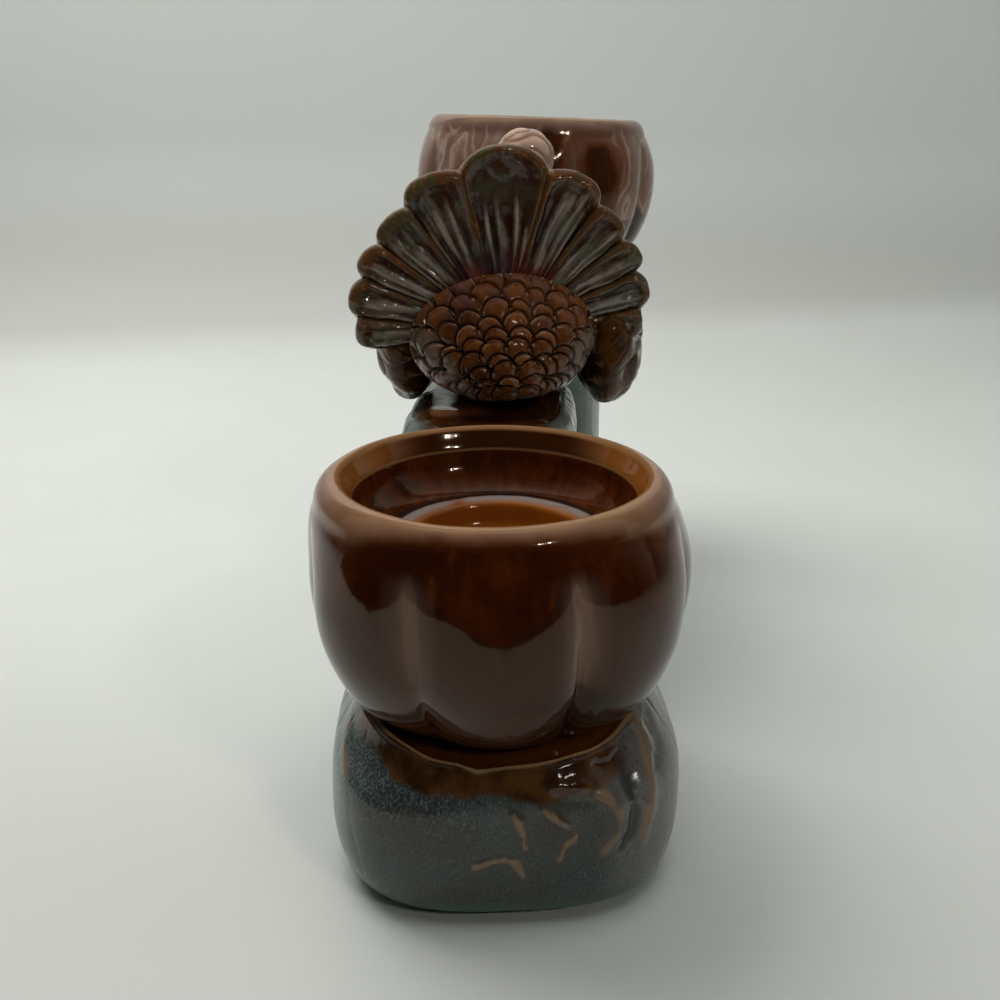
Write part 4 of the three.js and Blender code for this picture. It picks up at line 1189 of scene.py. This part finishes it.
# %% Fan glaze
def fan_glaze():
    mix = glaze("fan_glaze")
    along = mix.mark("along")
    rim = mix.mark("rim")
    drift = mix.cloud(9, 3.0)
    fine = mix.cloud(1.6, 4.0, rough=0.65)
    lane = mix.node("ShaderNodeCombineXYZ", {}, {0: mix.mark("strand"), 1: along * 2.2})
    strand = mix.node("ShaderNodeTexNoise", {}, {"Vector": lane, "Scale": 1.6, "Detail": 4.0})
    wisp = (strand - 0.5) * 0.9 + (fine - 0.5) * 0.35
    body = mix.blend((drift + wisp * 0.5).between(0.4, 0.62), (60, 32, 20), (66, 58, 46))
    root = (along + (drift - 0.5) * 0.4).between(0.5, 0.25)
    body = mix.blend(root * 0.9, body, mix.blend(drift.between(0.4, 0.6), (108, 50, 36), (82, 50, 64)))
    cool = mix.blend(drift.between(0.35, 0.6), (132, 116, 98), (104, 98, 82))
    # Pale grey-blue: pooled glaze in the hollows, with painted sheen along the ribs.
    face = mix.blend((mix.mark("pale") + wisp * 2.2).between(0.35, 0.95) * 0.8, body, cool)
    moss = mix.cloud(6, 4.0, rough=0.65).between(0.46, 0.6) * along.between(0.55, 0.8)
    face = mix.coats(face, [
        (moss * 0.7, mix.blend(fine, (46, 48, 30), (92, 84, 56))),
        # Painted highlight: near white along the crests of the ribs.
        ((mix.mark("crown") + wisp * 0.7).between(0.7, 1.1) * 0.6, (172, 164, 152)),
    ])
    olive = mix.blend((drift + fine * 0.3).between(0.55, 0.75), (96, 60, 31), (80, 70, 44))
    olive = mix.coats(olive, [
        ((fine + wisp * 0.4).between(0.58, 0.72) * 0.6, (164, 104, 50)),
        ((1 - fine + wisp * 0.5).between(0.6, 0.8) * 0.5, (34, 30, 20)),
    ])
    face = mix.coats(face, [
        ((rim + wisp * 1.3).between(0.4, 0.85) * 0.9, olive),
        ((mix.mark("edge") + wisp * 0.6).between(0.2, 0.8) * 0.8, (160, 132, 110)),
        ((mix.mark("cuts") + wisp * 0.4).between(0.25, 0.85) * 0.85, (34, 17, 11)),
    ])
    relief = mix.cloud(4, 3.0) * 0.2 + strand * 0.4 + mix.cloud(2.2, 2.0) * 0.1
    return mix.fire(face, fine * 0.05 + 0.08, relief)


# %% The eleven feathers
fan_finish = fan_glaze()
OUTERMOST = len(TIP_TURNS) - 1
for slot in range(-OUTERMOST, OUTERMOST + 1):
    number = f"{slot + OUTERMOST + 1:02d}"
    grid, marks = feather_grid(slot)
    turkey_piece(f"feather_{number}", grid, marks, fan_finish, "fan_glaze", f"tail_feather_{number}")

# %% [markdown]
# ## Scale feathers
# The rump, breast and back are covered in small rounded feathers that lap like shingles. Each
# is a pad that rises towards its free end, and where pads overlap the highest one wins. One
# helper presses them into any surface, given where each pad sits and which way it points.

# %% Pads that lap
TINY = 1e-3  # a step in angle, for the directions along a surface


def pads_on(surface, rows, width):
    """Middles and directions of pads laid in rows over a surface of two angles.

    Rows follow the first angle. Each row has as many pads as its length holds, and every
    second row is shifted by a quarter of a pad.
    """
    found = []
    for number, (tilt, start, end) in enumerate(rows):
        edge = surface(np.full(80, tilt), np.linspace(start, end, 80))
        length = np.linalg.norm(np.diff(edge, axis=0), axis=1).sum()
        count = max(int(round(length / width)), 1)
        shift = 0.25 * (number % 2) + 0.25
        for turn in start + (end - start) * (np.arange(count) + shift) / count:
            nearby = surface(tilt + np.array([0, TINY, 0]), turn + np.array([0, 0, TINY]))
            here, out, side = nearby[0], unit(nearby[1] - nearby[0]), nearby[2] - nearby[0]
            found.append((here, out, unit(side - out * (side @ out))))
    return found


def lapped(places, pads, length, width, seed, root=0.42):
    """Height share and edge share of the highest pad at each place, and the shade beside it.

    In a pad's own measures s runs to 1 at the free end and t to 1 at its side. The pad covers
    t^2 + max(s, 0)^2 < 1, climbs with s from the root's height, and rounds off at the edge by
    a root of that gap.
    """
    draw = np.random.default_rng(seed)
    best = np.zeros(places.shape[:-1])
    tip, shade = np.zeros_like(best), np.zeros_like(best)
    found = []
    for here, out, side in pads:
        size = draw.uniform(0.8, 1.16)
        bend = draw.uniform(-0.22, 0.22)
        away = places - here - out * draw.uniform(-0.6, 0.6) - side * draw.uniform(-0.6, 0.6)
        s = (away @ out) / (length * size)
        t = (away @ side) / (width * size) + bend * s
        near = np.linalg.norm(away, axis=-1) < 3.2 * max(length, width)
        gap = 1 - t**2 - np.clip(s, 0, None) ** 2
        climb = root + (1 - root) * np.clip((s + 1.9) / 2.9, 0, 1)
        dent = 1 - 0.1 * bell(t, 0.3) * rise(s, -0.4, 0.4)
        pad = np.where(near & (gap > 0) & (s > -2.2), climb * dent * np.clip(gap, 0, 1) ** 0.26, 0)
        pad *= draw.uniform(0.88, 1.06)
        tip = np.where(pad > best, np.clip(1 - gap, 0, 1) * rise(s, -0.5, 0.1), tip)
        best = np.maximum(best, pad)
        found.append((near & (gap <= 0) & (s > -0.4), gap, climb))
    for beside, gap, climb in found:
        beyond = rise(gap, -0.5, 0) * np.clip((climb - best - 0.05) / 0.2, 0, 1)
        shade = np.maximum(shade, np.where(beside, beyond, 0))
    return best - 0.3 * shade, tip * (1 - shade), shade


def raised(grid, heights):
    """The grid moved outwards by the heights, along the cross of its two slopes."""
    padded = np.concatenate([grid[:, -1:], grid, grid[:, :1]], axis=1)
    normal = unit(np.cross(np.gradient(grid, axis=0), (padded[:, 2:] - padded[:, :-2]) / 2))
    middle = grid.reshape(-1, 3).mean(axis=0)
    outwards = np.sign(np.sum(normal * (grid - middle)))
    return grid + outwards * normal * heights[..., None]


# %% Rump dome
RUMP_HALF_WIDTH = 29.5
RUMP_HALF_HEIGHT = 20.4
RUMP_DEPTH = 17.0
RUMP_SAG = 6.0
RUMP_BACK = -4.2
RUMP_POWER = 2 / 2.3
RUMP_BROW = 1.9
RUMP_FOOT = (1.5, -18.6)  # where the rows of scales start, low on the dome
PAD_RISE = 4.0


def dome(tilt, turn):
    """The dome by tilt from its fullest place and turn round it, flat on the fan.

    The outline share is sin(tilt)^p. The depth is cos(tilt)^q, where q grows from p at the
    bottom to the brow's power at the top, and the fullest place sags below the hub.
    """
    out = np.sin(tilt) ** RUMP_POWER
    power = RUMP_POWER + (RUMP_BROW - RUMP_POWER) * (1 + np.sin(turn)) / 2
    deep = np.clip(np.cos(tilt), 0, 1) ** power * RUMP_DEPTH
    x = RUMP_HALF_WIDTH * out * np.cos(turn)
    z = RUMP_HALF_HEIGHT * out * np.sin(turn) - RUMP_SAG * (1 - out)
    return places_of(x, RUMP_BACK - deep, z)


def on_dome(x, z):
    """The dome's place over a point of the view from behind.

    With a = (x / W)^2, b = (z + sag) / H and c = sag / H, the outline share is the positive
    root of (1 - c^2) o^2 + 2bc o = a + b^2, and tilt and turn follow from it.
    """
    a, b = (x / RUMP_HALF_WIDTH) ** 2, (z + RUMP_SAG) / RUMP_HALF_HEIGHT
    c = RUMP_SAG / RUMP_HALF_HEIGHT
    out = (np.sqrt((b * c) ** 2 + (1 - c * c) * (a + b * b)) - b * c) / (1 - c * c)
    out = np.clip(out, 1e-4, 0.999)
    turn = np.arctan2((z + RUMP_SAG * (1 - out)) / RUMP_HALF_HEIGHT, x / RUMP_HALF_WIDTH)
    return dome(np.arcsin(out ** (1 / RUMP_POWER)), turn)


def scale_rays(share, turn):
    """Along a ray from the dome's foot, by share of the way to its outline and by turn."""
    way = np.stack([np.sin(turn), np.cos(turn)], -1)
    half = np.array([RUMP_HALF_WIDTH, RUMP_HALF_HEIGHT])
    u, v = np.array(RUMP_FOOT) / half, way / half
    a, b, c = (v * v).sum(-1), (u * v).sum(-1), (u * u).sum(-1) - 1
    length = (np.sqrt(b * b - a * c) - b) / a
    place = RUMP_FOOT + way * (share * length)[..., None]
    return on_dome(place[..., 0], place[..., 1])


ROW_SHARES = [0.06, 0.13, 0.2, 0.28, 0.37, 0.47, 0.57, 0.67, 0.77, 0.87, 0.96]
rump_tilts = np.append(np.linspace(0.004, np.pi / 2, 200), np.pi / 2)
rump_plain = swept(dome, rump_tilts, 480)
rump_plain[-1] *= [0.9, 1, 0.9]
rump_rows = [(share, -1.45 + 0.2 * share, 1.45 - 0.2 * share) for share in ROW_SHARES]
rump_pads = pads_on(scale_rays, rump_rows, 8.0)
height, tip, shade = lapped(rump_plain, rump_pads, 5.2, 4.4, 3, 0.05)
cover = rise(np.cos(rump_tilts), 0.0, 0.12)[:, None]
rump_grid = raised(rump_plain, (np.maximum(height, 0.2) - 0.7) * PAD_RISE * cover)
across, up = np.abs(rump_plain[..., 0]), rump_plain[..., 2]
flank = rise(across - up * 0.5, 15, 24) * rise(up, 8, -2) + 0.7 * rise(up, -10, -18)
rump_marks = {"pad": height, "tip": tip, "shade": shade, "flank": flank, "crown": rise(up, 5, 14)}
print("Pads on the rump:", len(rump_pads))


# %% [markdown]
# ## Plumage glaze
# Over the scales the brown glaze is thin on every free edge, where it shows amber and pale, the
# pale partly a painted highlight. The gaps beside the free edges and the low places between pads
# carry painted shade, nearly black. Patches of the grey-blue glaze lie over the flanks.

# %% Plumage glaze
def plumage_glaze(name, pale_share, brown, amber, gloss=0.5):
    mix = glaze(name)
    pad, tip, shade, flank, crown = map(mix.mark, ("pad", "tip", "shade", "flank", "crown"))
    drift = mix.cloud(13, 3.0)
    fine = mix.cloud(1.4, 4.0, rough=0.65)
    grey = flank * pale_share + (mix.cloud(7, 2.0) - 0.47) * 1.7 + (fine - 0.5) * 0.5
    colour = mix.coats(mix.blend((drift + fine * 0.4).between(0.45, 0.8), brown, amber), [
        (grey.between(0.25, 0.75) * 0.75, (120, 108, 98)),
        (crown * mix.cloud(6, 2.0).between(0.45, 0.6) * 0.5, (116, 74, 80)),
        # Painted shade: darker where the pads sit low.
        (pad.between(0.85, 0.55) * 0.5, (34, 17, 8)),
        # Partly thin glaze, partly painted highlight: pale on each pad's free edge.
        ((tip + (fine - 0.5) * 0.4).between(0.6, 0.95) * 0.7, (186, 156, 122)),
        # Painted shade, nearly black, in the gap beside each free edge.
        (shade.between(0.3, 0.95) * 0.9, (22, 12, 8)),
    ])
    relief = mix.cloud(3, 3.0) * 0.14 + fine * 0.02
    return mix.fire(colour, fine * 0.05 + 0.08, relief, (1, 0.9, 0.8, 1), gloss)


rump_finish = plumage_glaze("plumage_glaze_rump", 0.9, (66, 34, 15), (132, 76, 33))
turkey_piece(
    "rump_scales", tail_to_turkey(rump_grid), rump_marks, rump_finish, "plumage_glaze",
    "rump_feathers", "tail_root",
)

# %% [markdown]
# ## Body
# The body is two eggs, belly and breast, that run into one another. A ray from a common middle
# leaves both where a smooth blend of their equations is one, and halving the span between a
# short and a long ray finds that place for all directions at once.

# %% Body
BELLY = (np.array([0, 26, 23.0]), np.array([30, 30, 27.0]))
BREAST = (np.array([0, 37, 33.0]), np.array([26.5, 24.5, 25.0]))
BODY_MIDDLE = np.array([0, 30, 27.0])
EGG_BLEND = 0.06  # how softly the two eggs run into one another
LONGEST_RAY = 60.0
HALVINGS = 18


def within_body(places):
    """Below 1 inside the body: a soft minimum, -k ln(sum of e^(-value / k)), of the two eggs."""
    eggs = [np.linalg.norm((places - middle) / half, axis=-1) for middle, half in (BELLY, BREAST)]
    return -EGG_BLEND * np.log(sum(np.exp(-value / EGG_BLEND) for value in eggs))


def body(tilt, turn):
    """The body's surface by tilt from the tail end and turn round the long axis."""
    way = places_of(np.sin(tilt) * np.cos(turn), -np.cos(tilt), np.sin(tilt) * np.sin(turn))
    short, long = np.zeros(way.shape[:-1]), np.full(way.shape[:-1], LONGEST_RAY)
    for _ in range(HALVINGS):
        half = (short + long) / 2
        inside = within_body(BODY_MIDDLE + way * half[..., None]) < 1
        short, long = np.where(inside, half, short), np.where(inside, long, half)
    return BODY_MIDDLE + way * short[..., None]


body_plain = swept(body, np.linspace(0.02, np.pi - 0.02, 190), 300)
body_rows = [(tilt, 0.0, TAU) for tilt in np.linspace(0.5, 2.95, 13)]
flipped = [(here, -out, side) for here, out, side in pads_on(body, body_rows, 9.4)]
height, tip, shade = lapped(body_plain, flipped, 5.4, 5.4, 17)
body_marks = {"pad": height, "tip": tip, "shade": shade, "flank": 0.3, "crown": 0}
body_finish = plumage_glaze("plumage_glaze_body", 0.6, (66, 34, 14), (112, 62, 26))
body_grid = raised(body_plain, (height - 0.6) * 2.0)
turkey_piece("turkey_plumage", body_grid, body_marks, body_finish, "plumage_glaze", "turkey_body")

# %% [markdown]
# ## Wings
# A strutting turkey drops its wings until they nearly touch the ground. Each is a flattened egg
# against the flank, with rows of long feathers that point down and back.

# %% Wings
WING_MIDDLE = np.array([33, 25, 18.6])
WING_HALF = np.array([11.6, 24, 20.5])
WING_DROOP = np.radians(14)
LONG_SHARE = 0.92  # height of the long feathers beside the small ones
SMALL_ROWS = [(tilt, -np.pi / 2, np.pi / 2) for tilt in (0.55, 0.95, 1.35)]
LONG_ROWS = [(tilt, -np.pi / 2, np.pi / 2) for tilt in (1.9, 2.45)]


def wing(side, tilt, turn):
    """An egg by tilt from its front end and turn about its length, pitched down behind."""
    way = places_of(np.sin(tilt) * np.cos(turn), np.cos(tilt), np.sin(tilt) * np.sin(turn))
    x, y, z = np.moveaxis(way * WING_HALF, -1, 0)
    c, s = np.cos(WING_DROOP), np.sin(WING_DROOP)
    return (places_of(x, c * y - s * z, s * y + c * z) + WING_MIDDLE) * [side, 1, 1]


wing_finish = plumage_glaze("plumage_glaze_wing", -0.9, (28, 15, 6), (84, 52, 19), 0.25)
for side, name in SIDES:
    surface = partial(wing, side)
    plain = swept(surface, np.linspace(0.02, np.pi - 0.02, 150), 220)
    small = np.array(lapped(plain, pads_on(surface, SMALL_ROWS, 8.0), 5.4, 4.6, 31))
    large = np.array(lapped(plain, pads_on(surface, LONG_ROWS, 9.0), 10.5, 5.2, 37))
    large[0] *= LONG_SHARE
    height, tip, shade = np.where(small[0] > large[0], small, large)
    spread = rise(plain[..., 1], 16, 30)  # the feathers fade out on the drooped end
    grid = raised(plain, (height - 0.6) * (0.6 + 0.9 * spread) + lumps(plain, 12, 39) * 0.8)
    marks = {"pad": 0.5 + 0.5 * height, "tip": tip * 0.8, "shade": shade * (0.35 + 0.6 * spread)}
    marks.update({"flank": 0.3, "crown": 0})
    turkey_piece(f"{name}_wing_feathers", grid, marks, wing_finish, "plumage_glaze", f"{name}_wing")

# %% [markdown]
# ## Neck, head and legs
# These are round limbs along smooth paths. A ring of points is carried along each path, square
# to it, and its radius follows a few given values. Wrinkles are ripples in that radius.

# %% Limbs
def limb(path, radii, rows, columns, ripple=None):
    """Rings carried along a smooth path, each spanned by two directions square to it."""
    middle = eased(path, rows)
    radius = eased(np.array(radii, float)[:, None], rows)
    radius[[0, -1]] *= 0.35
    radius[[1, -2]] *= 0.8
    heading = unit(np.gradient(middle, axis=0))
    side = unit([1.0, 0, 0] - heading * heading[:, :1])
    over = np.cross(heading, side)
    turn = circle(columns)[None, :, None]
    ring = np.cos(turn) * side[:, None] + np.sin(turn) * over[:, None]
    plain = middle[:, None] + radius[..., None] * ring
    swell = np.zeros(plain.shape[:2]) if ripple is None else ripple(plain)
    return plain + swell[..., None] * ring, swell


def wrinkles(size, depth, seed):
    """Soft folds with sharp valleys: the size of a lump field near zero, bent by a power."""
    return lambda places: depth * (np.abs(lumps(places, size, seed)) ** 0.6 - 0.5)


def flesh_glaze():
    mix = glaze("flesh_glaze")
    fold = mix.mark("fold")
    drift = mix.cloud(9, 3.0)
    fine = mix.cloud(1.2, 4.0)
    colour = mix.coats(mix.blend(drift.between(0.35, 0.7), (208, 172, 148), (180, 140, 114)), [
        ((fine + drift * 0.5).between(0.8, 1.0) * 0.4, (110, 100, 92)),
        (fold.between(-0.05, -0.42) * 0.6, (100, 66, 50)),
        (fold.between(0.1, 0.4) * 0.5, (206, 178, 160)),
    ])
    return mix.fire(colour, fine * 0.05 + 0.09, mix.cloud(3, 3.0) * 0.12)


flesh_finish = flesh_glaze()
NECK_PATH = [(0, 45, 41), (0, 39, 54), (1.6, 29.5, 63), (3.4, 28.5, 71), (4.2, 31, 77)]
NECK_RADII = [12, 9.4, 7.6, 6.8, 6.4]
neck, fold = limb(NECK_PATH, NECK_RADII, 110, 120, wrinkles(11, 1.3, 51))
turkey_piece("wrinkled_neck", neck, {"fold": fold}, flesh_finish, "flesh_glaze", "turkey_neck")

# %% Head
HEAD_MIDDLE = np.array([4.2, 31.6, 76.3])
HEAD_HALF = np.array([10.0, 10.4, 9.6])
EYE = (7.5, 6.2, 2.2)  # from the middle of the head: sideways, forwards, up
EYE_RADIUS = 1.7


def ball(tilt, turn):
    """A ball by tilt from the top and turn round the upright."""
    return places_of(np.sin(tilt) * np.cos(turn), np.sin(tilt) * np.sin(turn), np.cos(tilt))


def plain_glaze(name, first, second, size):
    mix = glaze(name)
    colour = mix.blend(mix.cloud(size, 3.0).between(0.35, 0.65), first, second)
    return mix.fire(colour, 0.08, mix.cloud(3, 2.0) * 0.08)


head = HEAD_MIDDLE + HEAD_HALF * swept(ball, np.linspace(0.02, np.pi - 0.02, 110), 140)
fold = wrinkles(11, 0.7, 71)(head) - 0.2
head = raised(head, fold)
turkey_piece("wrinkled_head", head, {"fold": fold}, flesh_finish, "flesh_glaze", "turkey_head")
eye_finish = plain_glaze("eye_glaze", (14, 10, 8), (26, 18, 12), 3)
for side, name in SIDES:
    spot = HEAD_MIDDLE + np.array(EYE) * [side, 1, 1]
    eye = spot + EYE_RADIUS * swept(ball, np.linspace(0.02, np.pi - 0.02, 24), 32)
    turkey_piece(f"{name}_eye", eye, {}, eye_finish, "brown_glaze")

# %% Beak, snood and wattle
BEAK_PATH = [(4.6, 38, 76.6), (5, 43.5, 76), (5.3, 47.5, 74), (5.4, 49.2, 71.4)]
SNOOD_PATH = [(6.4, 40.6, 80.4), (9, 44.6, 78.6), (10, 46.4, 74), (10, 46.4, 69)]
WATTLE_PATH = [(4.2, 37.4, 70.6), (4, 41, 66.4), (3.6, 42.4, 61.4), (3.2, 42, 57)]

beak_finish = plain_glaze("beak_glaze", (150, 98, 44), (106, 62, 24), 7)
beak, _ = limb(BEAK_PATH, [3.8, 3.1, 2, 0.9], 40, 48)
turkey_piece("hooked_beak", beak, {}, beak_finish, "amber_glaze", "beak")
snood, fold = limb(SNOOD_PATH, [1.7, 1.8, 2.1, 1.4], 44, 40, wrinkles(4, 0.5, 81))
turkey_piece("snood_flap", snood, {"fold": fold}, flesh_finish, "flesh_glaze", "snood")
wattle, fold = limb(WATTLE_PATH, [3, 3.6, 4, 2.2], 56, 60, wrinkles(5, 0.9, 91))
turkey_piece("wattle_folds", wattle, {"fold": fold}, flesh_finish, "flesh_glaze", "wattle")

# %% Legs
LEG_PATH = np.array([(12, 42, 12), (12.6, 45.5, 6), (13, 47.5, 2.4)])
LEG_RADII = [5.6, 4.4, 3.4]
TOE_LENGTH = 13.0
TOE_RADIUS = 2.2
TOE_TURNS = [-28, 0, 28, 180]


def toe_path(side, turn):
    """From the ankle along the ground, with a slight arch at the knuckle."""
    way = np.array([np.sin(np.radians(turn)), np.cos(np.radians(turn)), 0])
    ankle = LEG_PATH[-1] * [side, 1, 0] + [0, 0, TOE_RADIUS / 2]
    return [ankle, ankle + way * TOE_LENGTH * 0.5 + [0, 0, 0.7], ankle + way * (TOE_LENGTH + TOE_RADIUS)]


toe_radii = [TOE_RADIUS, TOE_RADIUS * 0.95, TOE_RADIUS * 0.8]
for side, name in SIDES:
    limbs = [limb(LEG_PATH * [side, 1, 1], LEG_RADII, 40, 56, wrinkles(6, 0.5, 101))]
    limbs += [limb(toe_path(side, turn), toe_radii, 30, 32, wrinkles(4, 0.35, 103)) for turn in TOE_TURNS]
    parts = [(to_casting(grid), {"fold": fold}, "caps") for grid, fold in limbs]
    piece(f"{name}_foot", parts, flesh_finish, "plumage_glaze", f"{name}_leg")

# %% Sizes and finish
print("Frame box:", np.round(np.array(cad_box) / MM, 1).tolist())
